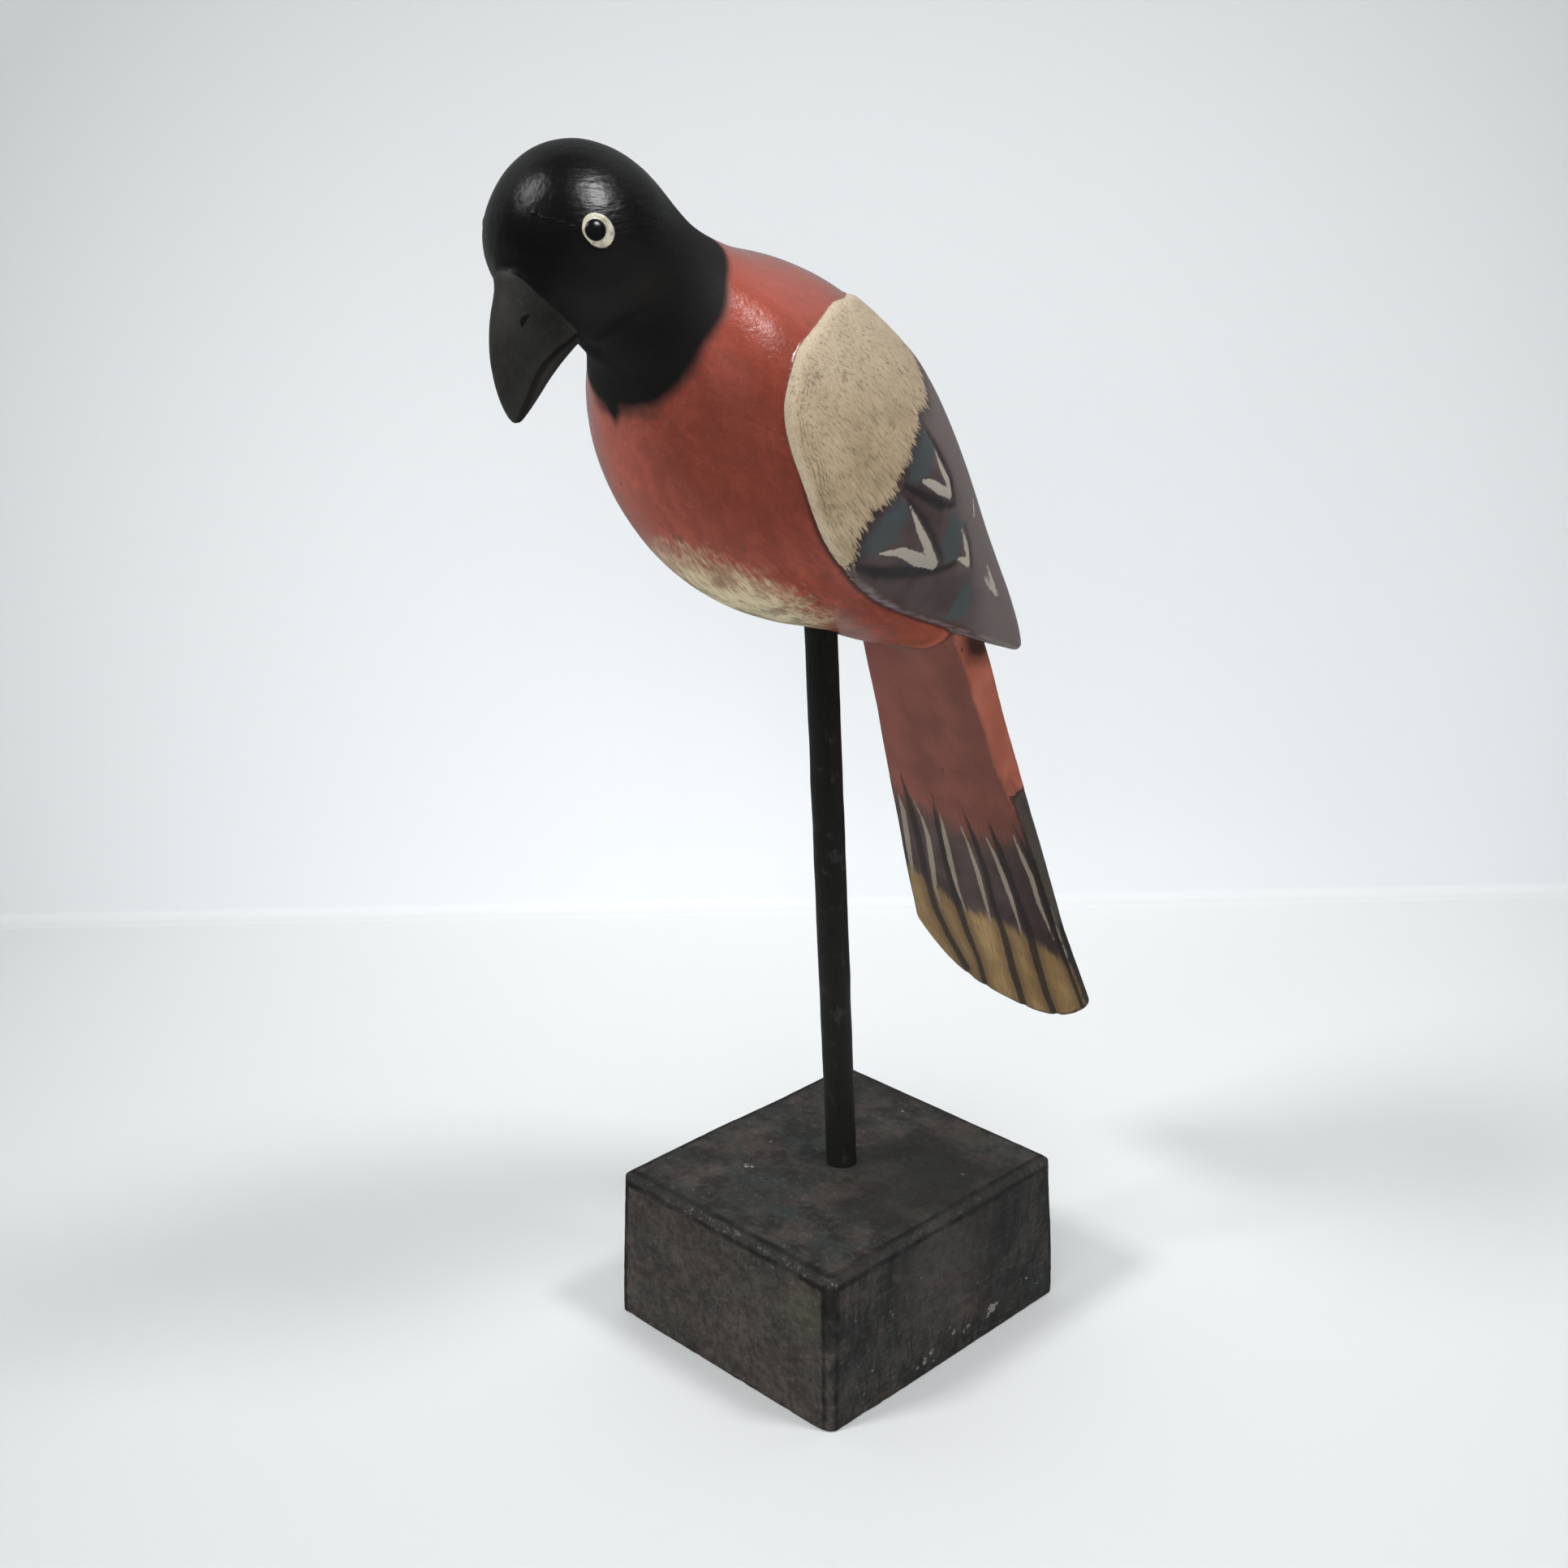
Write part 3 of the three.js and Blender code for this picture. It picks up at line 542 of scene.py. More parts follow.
def skin(field, low, high, spacing):
    """Points and four-cornered faces over the field's surface, facing outwards."""
    block = CELLS_A_BLOCK
    shape = [block * math.ceil((h - l) / spacing / block) + 1 for l, h in zip(low, high)]
    values = block_values(field, low, shape, spacing)
    inside = values < 0
    corners = list(product((0, 1), repeat=3))
    cells_shape = tuple(n - 1 for n in shape)
    count = np.zeros(cells_shape, np.int8)
    for i, j, k in corners:
        count += inside[i:cells_shape[0] + i, j:cells_shape[1] + j, k:cells_shape[2] + k]
    crossed = (count > 0) & (count < 8)
    cells = np.argwhere(crossed)
    index = np.full(cells_shape, -1, np.int64)
    index[crossed] = np.arange(len(cells))
    at = [values[cells[:, 0] + i, cells[:, 1] + j, cells[:, 2] + k].astype(float) for i, j, k in corners]
    total, hits = np.zeros((len(cells), 3)), np.zeros(len(cells))
    for a, b in product(range(8), repeat=2):
        span = np.array(corners[b]) - np.array(corners[a])
        if b > a and np.abs(span).sum() == 1:
            crossing = (at[a] < 0) != (at[b] < 0)
            share = at[a][crossing] / (at[a][crossing] - at[b][crossing])
            total[crossing] += np.array(corners[a]) + share[:, None] * span
            hits[crossing] += 1
    points = np.array(low) + spacing * (cells + total / hits[:, None])
    faces = []
    for axis, (u, v) in enumerate(((1, 2), (2, 0), (0, 1))):
        here, there = [slice(None)] * 3, [slice(None)] * 3
        here[axis], there[axis] = slice(0, shape[axis] - 1), slice(1, shape[axis])
        edges = np.argwhere(inside[tuple(here)] != inside[tuple(there)])
        fits = [(edges[:, w] > 0) & (edges[:, w] < shape[w] - 1) for w in (u, v)]
        edges = edges[fits[0] & fits[1]]
        du, dv = np.eye(3, dtype=int)[u], np.eye(3, dtype=int)[v]
        ring = np.stack([index[tuple(e.T)] for e in (edges - du - dv, edges - dv, edges, edges - du)], 1)
        outward = inside[tuple(edges.T)]
        ring[~outward] = ring[~outward][:, ::-1]
        faces.append(ring)
    for _ in range(3):
        slope = slope_of(field, points)
        step = field(*points.T) / np.maximum((slope**2).sum(1), 1e-6)
        points = points - np.clip(step, -spacing / 2, spacing / 2)[:, None] * slope
    return points, np.concatenate(faces)


def mesh_object(name, points, faces):
    """A smooth-shaded object from points in millimetres and four-cornered faces."""
    mesh = bpy.data.meshes.new(name)
    mesh.vertices.add(len(points))
    mesh.vertices.foreach_set("co", (np.asarray(points) * MM).astype(np.float32).ravel())
    mesh.loops.add(faces.size)
    mesh.loops.foreach_set("vertex_index", faces.astype(np.int32).ravel())
    mesh.polygons.add(len(faces))
    mesh.polygons.foreach_set("loop_start", np.arange(0, faces.size, 4, dtype=np.int32))
    mesh.update(calc_edges=True)
    mesh.validate()
    mesh.polygons.foreach_set("use_smooth", np.ones(len(mesh.polygons), bool))
    piece = bpy.data.objects.new(name, mesh)
    bpy.context.scene.collection.objects.link(piece)
    return piece


def note(piece, name, *columns):
    """Writes a number, or three numbers, on each vertex for the paint to read."""
    if len(columns) == 1:
        layer = piece.data.attributes.new(name, "FLOAT", "POINT")
        layer.data.foreach_set("value", np.asarray(columns[0], np.float32))
    else:
        layer = piece.data.attributes.new(name, "FLOAT_VECTOR", "POINT")
        layer.data.foreach_set("vector", np.stack(columns, 1).astype(np.float32).ravel())


# Node building

class Nodes:
    """Short calls for building a node tree."""

    def __init__(self, tree):
        self.tree = tree

    def node(self, kind, inputs=None, **settings):
        made = self.tree.nodes.new(kind)
        for key, value in settings.items():
            setattr(made, key, value)
        for key, value in (inputs or {}).items():
            self.feed(made.inputs[key], value)
        return made

    def feed(self, socket, value):
        if isinstance(value, bpy.types.NodeSocket):
            self.tree.links.new(value, socket)
        elif socket.type == "RGBA" and len(value) == 3:
            socket.default_value = (*value, 1.0)
        else:
            socket.default_value = value

    def math(self, operation, a, b=0.0, c=0.0):
        return self.node("ShaderNodeMath", {0: a, 1: b, 2: c}, operation=operation).outputs[0]

    def add(self, a, b):
        return self.math("ADD", a, b)

    def less(self, a, b):
        return self.math("SUBTRACT", a, b)

    def times(self, a, b):
        return self.math("MULTIPLY", a, b)

    def least(self, a, b):
        return self.math("MINIMUM", a, b)

    def gained(self, value, gain, base):
        return self.math("MULTIPLY_ADD", value, gain, base)

    def swayed(self, base, wave, reach):
        """A value moved to and fro by a wave that runs from 0 to 1."""
        return self.gained(self.less(wave, 0.5), reach, base)

    def vector(self, operation, *values):
        made = self.node("ShaderNodeVectorMath", dict(enumerate(values)), operation=operation)
        return made.outputs[1] if operation in ("DISTANCE", "DOT_PRODUCT") else made.outputs[0]

    def scaled(self, vector, factor):
        return self.node("ShaderNodeVectorMath", {0: vector, "Scale": factor}, operation="SCALE").outputs[0]

    def combined(self, *values):
        return self.node("ShaderNodeCombineXYZ", dict(enumerate(values))).outputs[0]

    def parts(self, vector):
        return self.node("ShaderNodeSeparateXYZ", {0: vector}).outputs

    def drift(self, place, scale, detail):
        """A vector that changes from place to place, with parts between 0 and 1."""
        return self.node("ShaderNodeTexNoise", {"Vector": place, "Scale": scale, "Detail": detail}).outputs[1]

    def use(self, group, **inputs):
        return self.node("ShaderNodeGroup", inputs, node_tree=group).outputs


class Paint(Nodes):
    """Short calls for building a shader tree."""

    def ramp(self, value, low, high):
        """0 at low and 1 at high, smooth between. low may be above high."""
        return self.node("ShaderNodeMapRange", {"Value": value, "From Min": low, "From Max": high},
                         interpolation_type="SMOOTHSTEP").outputs[0]

    def band(self, value, low, rise, fall, high):
        """1 between rise and fall, 0 below low and above high."""
        return self.times(self.ramp(value, low, rise), self.ramp(value, high, fall))

    def blend(self, mask, under, over):
        made = self.node("ShaderNodeMix", data_type="RGBA")
        for key, value in ((0, mask), (6, under), (7, over)):
            self.feed(made.inputs[key], value)
        return made.outputs[2]

    def layers(self, colour, *layers):
        """Colours laid over one another, each through its mask and as strongly as its amount."""
        for mask, amount, over in layers:
            colour = self.blend(self.times(mask, amount), colour, over)
        return colour

    def mix(self, mask, under, over):
        return self.node("ShaderNodeMix", {0: mask, 2: under, 3: over}, data_type="FLOAT").outputs[0]

    def noise(self, place, size, detail=2.0, rough=0.5):
        """Noise with lumps about this many millimetres across, between 0 and 1."""
        return self.node("ShaderNodeTexNoise", {"Vector": place, "Scale": 1.0 / size, "Detail": detail,
                                                "Roughness": rough}).outputs[0]

    def grain(self, place, sizes, detail):
        """Noise drawn out to these sizes along the three axes."""
        return self.noise(self.vector("DIVIDE", place, sizes), 1.0, detail)

    def millimetres(self):
        return self.scaled(self.node("ShaderNodeTexCoord").outputs["Object"], 1.0 / MM)

    def shifted(self, place, offset):
        return self.vector("ADD", place, offset)

    def shrunk(self, place, size):
        return self.vector("DIVIDE", place, self.combined(size, size, size))

    def attribute(self, name, output="Vector"):
        return self.node("ShaderNodeAttribute", attribute_name=name).outputs[output]

    def marks(self, name):
        return self.parts(self.attribute(name))

    def bristles(self, place, turn, spacing, waver):
        return self.use(streaks, Place=place, Turn=turn, Spacing=spacing, Waver=waver)["Streaks"]

    def edge(self, distance, place, softness, raggedness, grain):
        return self.use(ragged, Distance=distance, Place=place, Softness=softness, Raggedness=raggedness,
                        Grain=grain)["Mask"]

    def blotches(self, place, size, cover, softness):
        return self.use(grime, Place=place, Size=size, Cover=cover, Softness=softness)["Mask"]

    def dots(self, place, spacing, size, share):
        return self.use(specks, Place=place, Spacing=spacing, Size=size, Share=share)["Mask"]


def new_tree(calls, kind, name, build, inputs, outputs):
    """A node tree with named sockets, each given by its kind or by its starting value. The build
    function gets the calls and the inputs in order, and returns the outputs in order."""
    tree = bpy.data.node_groups.new(name, kind)
    for way, sockets in (("INPUT", inputs), ("OUTPUT", outputs)):
        for title, start in sockets.items():
            sort = start if isinstance(start, str) else "Vector" if isinstance(start, tuple) else "Float"
            socket = tree.interface.new_socket(title, in_out=way, socket_type="NodeSocket" + sort)
            if start != sort:
                socket.default_value = start
    n = calls(tree)
    entry = n.node("NodeGroupInput").outputs
    leave = n.node("NodeGroupOutput").inputs
    for title, value in zip(outputs, build(n, *[entry[title] for title in inputs])):
        n.feed(leave[title], value)
    return tree


def shader_group(name, build, outputs, **inputs):
    """A group of shader nodes that its build function fills."""
    return new_tree(Paint, "ShaderNodeTree", name, build, inputs, outputs)


def brush_streaks(p, place, turn, spacing, waver):
    """Bristle marks: noise drawn out along one direction."""
    swayed = p.vector("ADD", place, p.scaled(p.drift(place, 0.12, 1.0), waver))
    turned = p.node("ShaderNodeVectorRotate", {"Vector": swayed, "Rotation": turn},
                    rotation_type="EULER_XYZ").outputs[0]
    return [p.noise(p.vector("DIVIDE", turned, spacing), 1.0, 3.0, 0.6)]


def ragged_edge(p, distance, place, softness, raggedness, grain):
    """A painted edge: a distance turned into a mask, soft or broken up."""
    wobble = p.noise(p.shrunk(place, grain), 1.0, 3.0, 0.6)
    moved = p.swayed(distance, wobble, p.times(raggedness, 4.0))
    return [p.ramp(moved, p.times(softness, -1.0), softness)]


def grime_blotches(p, place, size, cover, softness):
    """Blotches of dirt or wear, about Size across; Cover from 0 to 1."""
    cloud = p.noise(p.shrunk(place, size), 1.0, 6.0, 0.62)
    level = p.gained(cover, -0.45, 0.72)
    return [p.ramp(cloud, p.less(level, softness), p.add(level, softness))]


def scattered_specks(p, place, spacing, size, share):
    """Small specks, no more than one in each cell."""
    cell_place = p.shrunk(place, spacing)
    bent = p.vector("MULTIPLY_ADD", p.drift(cell_place, 6.0, 2.0), (0.12, 0.12, 0.12), cell_place)
    cells = p.node("ShaderNodeTexVoronoi", {"Vector": bent, "Scale": 1.0}).outputs
    chosen = p.math("LESS_THAN", p.parts(cells["Color"])[0], share)
    return [p.times(p.ramp(cells["Distance"], size, p.times(size, 0.5)), chosen)]


MASK = {"Mask": "Float"}
streaks = shader_group("brush_streaks", brush_streaks, {"Streaks": "Float"}, Place="Vector",
                       Turn=(0.0, 0.0, 0.0), Spacing=(0.5, 6.0, 0.5), Waver=0.6)
ragged = shader_group("ragged_edge", ragged_edge, MASK, Distance=0.0, Place="Vector", Softness=0.2,
                      Raggedness=0.3, Grain=1.0)
grime = shader_group("grime", grime_blotches, MASK, Place="Vector", Size=6.0, Cover=0.3, Softness=0.1)
specks = shader_group("specks", scattered_specks, MASK, Place="Vector", Spacing=6.0, Size=0.12, Share=0.3)

# Coats of paint for the zones of the carving

ZONE = {"Color": "Color", "Roughness": "Float", "Height": "Float"}
BODY_TURN = (math.radians(40), 0.0, 0.0)
WING_TURN = (math.radians(47), 0.0, 0.0)


def red_body_coat(p, place, belly):
    """Brick-red body colour with brown mottling and brushed streaks, painted light and shade, and the cream
    belly over it.
    """
    x, y, z = p.parts(place)
    strokes = p.bristles(place, BODY_TURN, (0.55, 7.0, 0.55), 1.2)
    broad = p.bristles(place, BODY_TURN, (3.0, 16.0, 3.0), 4.0)
    rear = p.times(p.ramp(y, -6, 22), p.ramp(z, 204, 190))
    red = p.layers(
        p.blend(p.ramp(broad, 0.38, 0.66), (0.26, 0.048, 0.027), (0.35, 0.068, 0.040)),
        (p.blotches(place, 19, 0.55, 0.12), 0.32, (0.16, 0.040, 0.030)),
        (p.blotches(p.shifted(place, (31, 5, 9)), 6, 0.3, 0.08), 0.4, (0.115, 0.040, 0.026)),
        # Painted light: the top of the back is lighter, where the light from above falls.
        (p.ramp(z, 246, 268), 0.6, (0.52, 0.115, 0.080)),
        # Painted shade: a darker patch in the middle of the left flank.
        (p.ramp(p.vector("DISTANCE", place, (24, -51, 233)), 30, 9), 0.58, (0.142, 0.027, 0.014)),
        # Painted light: lighter towards the bird's right side, where the lights on the left fall.
        (p.ramp(x, 6, -12), 0.4, (0.43, 0.115, 0.078)),
        (rear, 0.55, (0.46, 0.115, 0.055)),
        (p.ramp(strokes, 0.55, 0.75), 0.16, (0.47, 0.13, 0.085)),
        (p.ramp(strokes, 0.42, 0.30), 0.12, (0.13, 0.030, 0.020)),
        (p.dots(place, 9, 0.07, 0.25), 0.7, (0.06, 0.02, 0.016)))
    belly_mask = p.edge(p.less(p.swayed(belly, strokes, 7), 1.8), place, 3.6, 1.3, 5)
    cream = p.layers(
        p.blend(p.ramp(strokes, 0.35, 0.65), (0.58, 0.50, 0.29), (0.78, 0.69, 0.44)),
        (p.blotches(place, 7, 0.4, 0.08), 0.6, (0.15, 0.115, 0.06)))
    gloss = p.add(p.times(strokes, 0.12), p.mix(p.ramp(z, 232, 252), 0.24, 0.15))
    scratches = p.times(p.grain(place, (1.4, 1.4, 6.0), 3), 0.09)
    ridges = p.add(scratches, p.times(p.noise(place, 1.3, 4, 0.65), 0.14))
    return (p.layers(red, (belly_mask, 0.92, cream)), p.mix(belly_mask, gloss, 0.48),
            p.add(p.times(strokes, 0.03), ridges))


def black_hood_coat(p, place, hood, crease):
    """Glossy black head, duller at the neck, with painted sheen on the neck and cheek, and a few pale specks.
    """
    x, _, z = p.parts(place)
    strokes = p.bristles(place, (0.5, 0.4, 0.0), (0.8, 4.5, 0.8), 2.5)
    crown = p.times(p.ramp(hood, 8, 24), p.ramp(z, 258, 278))
    cloud = p.noise(place, 12)
    # The neck's black is lighter than the crown's: matte paint, and partly painted sheen.
    neck_black_and_sheen = p.blend(cloud, (0.0038, 0.0038, 0.0035), (0.0070, 0.0070, 0.0064))
    crown_black = p.blend(cloud, (0.0013, 0.0014, 0.0012), (0.0028, 0.0028, 0.0023))
    colour = p.layers(
        p.blend(crown, neck_black_and_sheen, crown_black),
        # Painted sheen: a lighter grey patch on the cheek.
        (p.ramp(p.vector("DISTANCE", place, (18, -80, 268)), 16, 5), 0.5, (0.0150, 0.0150, 0.0142)),
        (p.dots(place, 8, 0.055, 0.22), 0.8, (0.16, 0.16, 0.15)))
    rough = p.gained(strokes, 0.12, p.less(p.mix(crown, 0.70, 0.30), 0.06))
    upright, level = p.grain(place, (1.2, 1.2, 5.0), 1.5), p.grain(place, (3.2, 3.2, 0.8), 1.5)
    ridges = p.mix(p.ramp(x, 8, 11), upright, level)
    folds = p.add(p.times(ridges, p.mix(crown, 0.015, 0.11)), p.times(p.noise(place, 2.4, 4, 0.6), 0.10))
    return colour, rough, p.add(folds, p.times(p.edge(crease, place, 0.3, 0.12, 0.8), 0.12))


def charcoal_beak_coat(p, place, mouth, nostril):
    """Charcoal beak, darker below the mouth, partly as painted shade, and with painted shade in the nostril.
    """
    strokes = p.bristles(place, (1.1, 0.0, 0.0), (0.5, 5.0, 0.5), 1.0)
    colour = p.layers(
        p.blend(strokes, (0.0150, 0.0147, 0.0130), (0.0275, 0.0268, 0.0235)),
        (p.ramp(p.noise(place, 0.9, 3, 0.65), 0.5, 0.72), 0.35, (0.042, 0.041, 0.037)),
        (p.ramp(p.parts(place)[1], -92, -100), 0.35, (0.030, 0.022, 0.018)),
        (p.band(mouth, -4.5, -0.8, -0.2, 0.1), 0.45, (0.038, 0.040, 0.035)),
        (p.blotches(place, 5, 0.35, 0.12), 0.5, (0.012, 0.0115, 0.011)),
        # The strip below the mouth line: darker paint, and partly painted shade under the upper mandible.
        (p.band(mouth, -0.1, 0.2, 1.4, 3.0), 0.92, (0.0105, 0.0102, 0.0090)),
        (p.ramp(mouth, 1.6, 2.6), 0.8, (0.040, 0.040, 0.036)))
    # The nostril: a black crescent of painted shade, as the carving has no hollow there.
    colour = p.blend(p.ramp(nostril, -0.15, 0.15), colour, (0.002, 0.002, 0.002))
    rough = p.gained(strokes, 0.12, p.mix(p.ramp(mouth, -0.6, 0.4), 0.42, 0.72))
    return colour, rough, p.add(p.times(strokes, 0.05), p.times(p.noise(place, 1.4, 4, 0.6), 0.09))


def painted_wing_coat(p, place, edge, cream, pale, dark, slate):
    """Khaki cream shoulder brushed out over mauve feathers with slate patches and pale V marks, with painted
    light, highlights and shade.
    """
    _, y, z = p.parts(place)
    strokes = p.bristles(place, WING_TURN, (0.42, 5.5, 0.34), 1.0)
    fringe = p.bristles(p.shifted(place, (5, 9, 2)), WING_TURN, (0.36, 7.5, 0.36), 0.8)
    cloud = p.noise(place, 9, 3)
    cloudy = p.ramp(cloud, 0.3, 0.7)
    # Comb marks run beside the wing's edge, and a painted highlight along the raised edge itself.
    wave = p.math("SINE", p.times(p.add(edge, p.times(p.noise(place, 5, 3), 3)), 8.2))
    comb = p.times(p.ramp(wave, 0.45, 0.98), p.band(edge, 0.7, 1.3, 2.4, 5.2))
    comb = p.times(comb, p.band(z, 210, 222, 244, 254))
    comb = p.times(comb, p.ramp(p.noise(p.shifted(place, (3, 1, 8)), 2.4), 0.36, 0.58))
    lip_highlight = p.times(p.ramp(edge, 0.8, 0.2), p.ramp(p.noise(place, 2.5, 3), 0.3, 0.5))
    shoulder = p.layers(
        p.blend(cloudy, (0.385, 0.285, 0.172), (0.500, 0.380, 0.240)),
        # Painted light: the top of the shoulder is lighter, where the light from above falls.
        (p.ramp(z, 232, 262), 0.55, (0.68, 0.56, 0.42)),
        (p.ramp(strokes, 0.47, 0.32), 0.8, (0.185, 0.145, 0.088)),
        (p.ramp(strokes, 0.56, 0.72), 0.6, (0.64, 0.54, 0.39)),
        (comb, 0.5, (0.20, 0.155, 0.095)),
        (lip_highlight, 0.45, (0.62, 0.54, 0.41)),
        (p.blotches(place, 4, 0.16, 0.05), 0.55, (0.16, 0.115, 0.07)),
        (p.dots(place, 7, 0.09, 0.35), 0.7, (0.09, 0.065, 0.045)))
    rearward = p.swayed(p.gained(z, 0.62, y), cloud, 8)
    pale_mask = p.edge(pale, place, 0.16, 0.22, 1.2)
    # Painted highlight along the feathers' lower edge.
    rim = p.times(p.ramp(edge, 1.0, 0.35), p.ramp(p.noise(place, 3), 0.35, 0.6))
    feathers = p.layers(
        p.blend(cloudy, (0.056, 0.032, 0.031), (0.092, 0.060, 0.060)),
        (p.ramp(rearward, 129, 142), 0.85, (0.170, 0.138, 0.132)),
        (p.edge(slate, place, 1.2, 0.7, 2.5), 0.85, (0.058, 0.077, 0.081)),
        # Dark bands under the V marks, and painted shadows beside the V arms.
        (p.edge(dark, place, 0.9, 0.3, 2.0), 0.93, (0.013, 0.010, 0.011)),
        (pale_mask, 0.95, p.blend(fringe, (0.36, 0.315, 0.26), (0.58, 0.52, 0.44))),
        (rim, 0.55, (0.30, 0.25, 0.24)),
        # Painted shade on the feathers along the edge of the cream shoulder.
        (p.ramp(cream, -4.0, 0.5), 0.55, (0.035, 0.02, 0.022)))
    # Bristles pull the cream out over the feathers.
    mask = p.ramp(p.swayed(cream, fringe, 9), -0.35, 0.35)
    ridges = p.add(p.add(p.times(strokes, 0.5), p.times(comb, -0.18)), 0.22)
    feather_height = p.add(p.times(cloud, 0.2), p.times(pale_mask, 0.10))
    return (p.blend(mask, feathers, shoulder), p.mix(mask, p.gained(cloud, 0.2, 0.30), 0.62),
            p.mix(mask, feather_height, ridges))


def painted_tail_coat(p, place, spot, quills, tips):
    """Tail board: mauve-red, then dark feathered tips with pale quill lines, and tan ends."""
    across, along, _ = p.parts(spot)
    pale, dark, rim = p.parts(quills)
    past_red, past_dark, side = p.parts(tips)
    strokes = p.bristles(spot, (0, 0, 0), (0.45, 7.0, 0.45), 0.9)
    cloud = p.noise(place, 10, 3)
    cloudy = p.ramp(cloud, 0.3, 0.7)
    face = p.layers(
        p.blend(cloudy, (0.180, 0.053, 0.037), (0.250, 0.076, 0.051)),
        (p.ramp(strokes, 0.6, 0.42), 0.3, (0.13, 0.055, 0.05)),
        (p.times(p.ramp(across, 2, -14), p.ramp(along, 50, 10)), 0.5, (0.30, 0.082, 0.062)),
        (p.ramp(across, 2, 14), 0.35, (0.115, 0.042, 0.030)))
    face = p.blend(side, face, p.blend(cloudy, (0.285, 0.078, 0.048), (0.385, 0.116, 0.074)))
    tip = p.layers(
        p.blend(cloudy, (0.048, 0.032, 0.030), (0.085, 0.058, 0.055)),
        (p.ramp(past_red, 14, 0), 0.5, (0.115, 0.066, 0.052)),
        (p.ramp(across, 4, 18), 0.55, (0.034, 0.021, 0.021)),
        (side, 0.7, (0.022, 0.018, 0.017)))
    face = p.blend(p.ramp(p.swayed(past_red, strokes, 14), -3.5, 5.0), face, tip)
    end = p.layers(
        p.blend(cloudy, (0.238, 0.145, 0.058), (0.36, 0.238, 0.102)),
        (p.ramp(strokes, 0.48, 0.3), 0.6, (0.09, 0.058, 0.030)),
        (p.ramp(p.swayed(dark, cloud, 3), -3.6, -0.6), 0.55, (0.105, 0.066, 0.034)))
    end_mask = p.ramp(p.swayed(past_dark, strokes, 9), -2.2, 2.6)
    dark_mask = p.edge(dark, spot, 0.45, 0.16, 2.0)
    pale_mask = p.edge(pale, spot, 0.16, 0.15, 1.6)
    face = p.layers(
        face,
        (end_mask, p.less(1.0, p.times(side, 0.6)), end),
        (dark_mask, 0.85, (0.022, 0.017, 0.0155)),
        (pale_mask, 0.9, p.blend(cloud, (0.20, 0.165, 0.124), (0.38, 0.325, 0.250))),
        (p.edge(rim, place, 0.5, 0.35, 2.5), 0.85, (0.022, 0.019, 0.018)),
        (p.dots(place, 8, 0.08, 0.3), 0.7, (0.03, 0.018, 0.015)))
    height = p.add(p.times(strokes, 0.12), p.add(p.times(pale_mask, 0.14), p.times(dark_mask, -0.05)))
    return face, p.gained(strokes, 0.2, 0.36), height


red_body = shader_group("red_body", red_body_coat, ZONE, Place="Vector", Belly=-9.0)
black_hood = shader_group("black_hood", black_hood_coat, ZONE, Place="Vector", Hood=0.0, Crease=-5.0)
charcoal_beak = shader_group("charcoal_beak", charcoal_beak_coat, ZONE, Place="Vector", Mouth=-5.0,
                             Nostril=-5.0)
painted_wing = shader_group("painted_wing", painted_wing_coat, ZONE, Place="Vector", Edge=5.0, Cream=0.0,
                            Pale=-5.0, Dark=-5.0, Slate=-5.0)
painted_tail = shader_group("painted_tail", painted_tail_coat, ZONE, Place="Vector", Spot="Vector",
                            Quills="Vector", Tips="Vector")

# Materials of the pieces


def finish_material(name, build):
    """A material whose build function returns colour, roughness and height in millimetres.
    A flat material has no height."""
    material = bpy.data.materials.new(name)
    material.use_nodes = True
    p = Paint(material.node_tree)
    shader = material.node_tree.nodes["Principled BSDF"]
    colour, rough, height = build(p, shader)
    p.feed(shader.inputs["Base Color"], colour)
    p.feed(shader.inputs["Roughness"], rough)
    if height is not None:
        bump = p.node("ShaderNodeBump", {"Height": height, "Strength": 1.0, "Distance": MM})
        p.feed(shader.inputs["Normal"], bump.outputs[0])
    return material


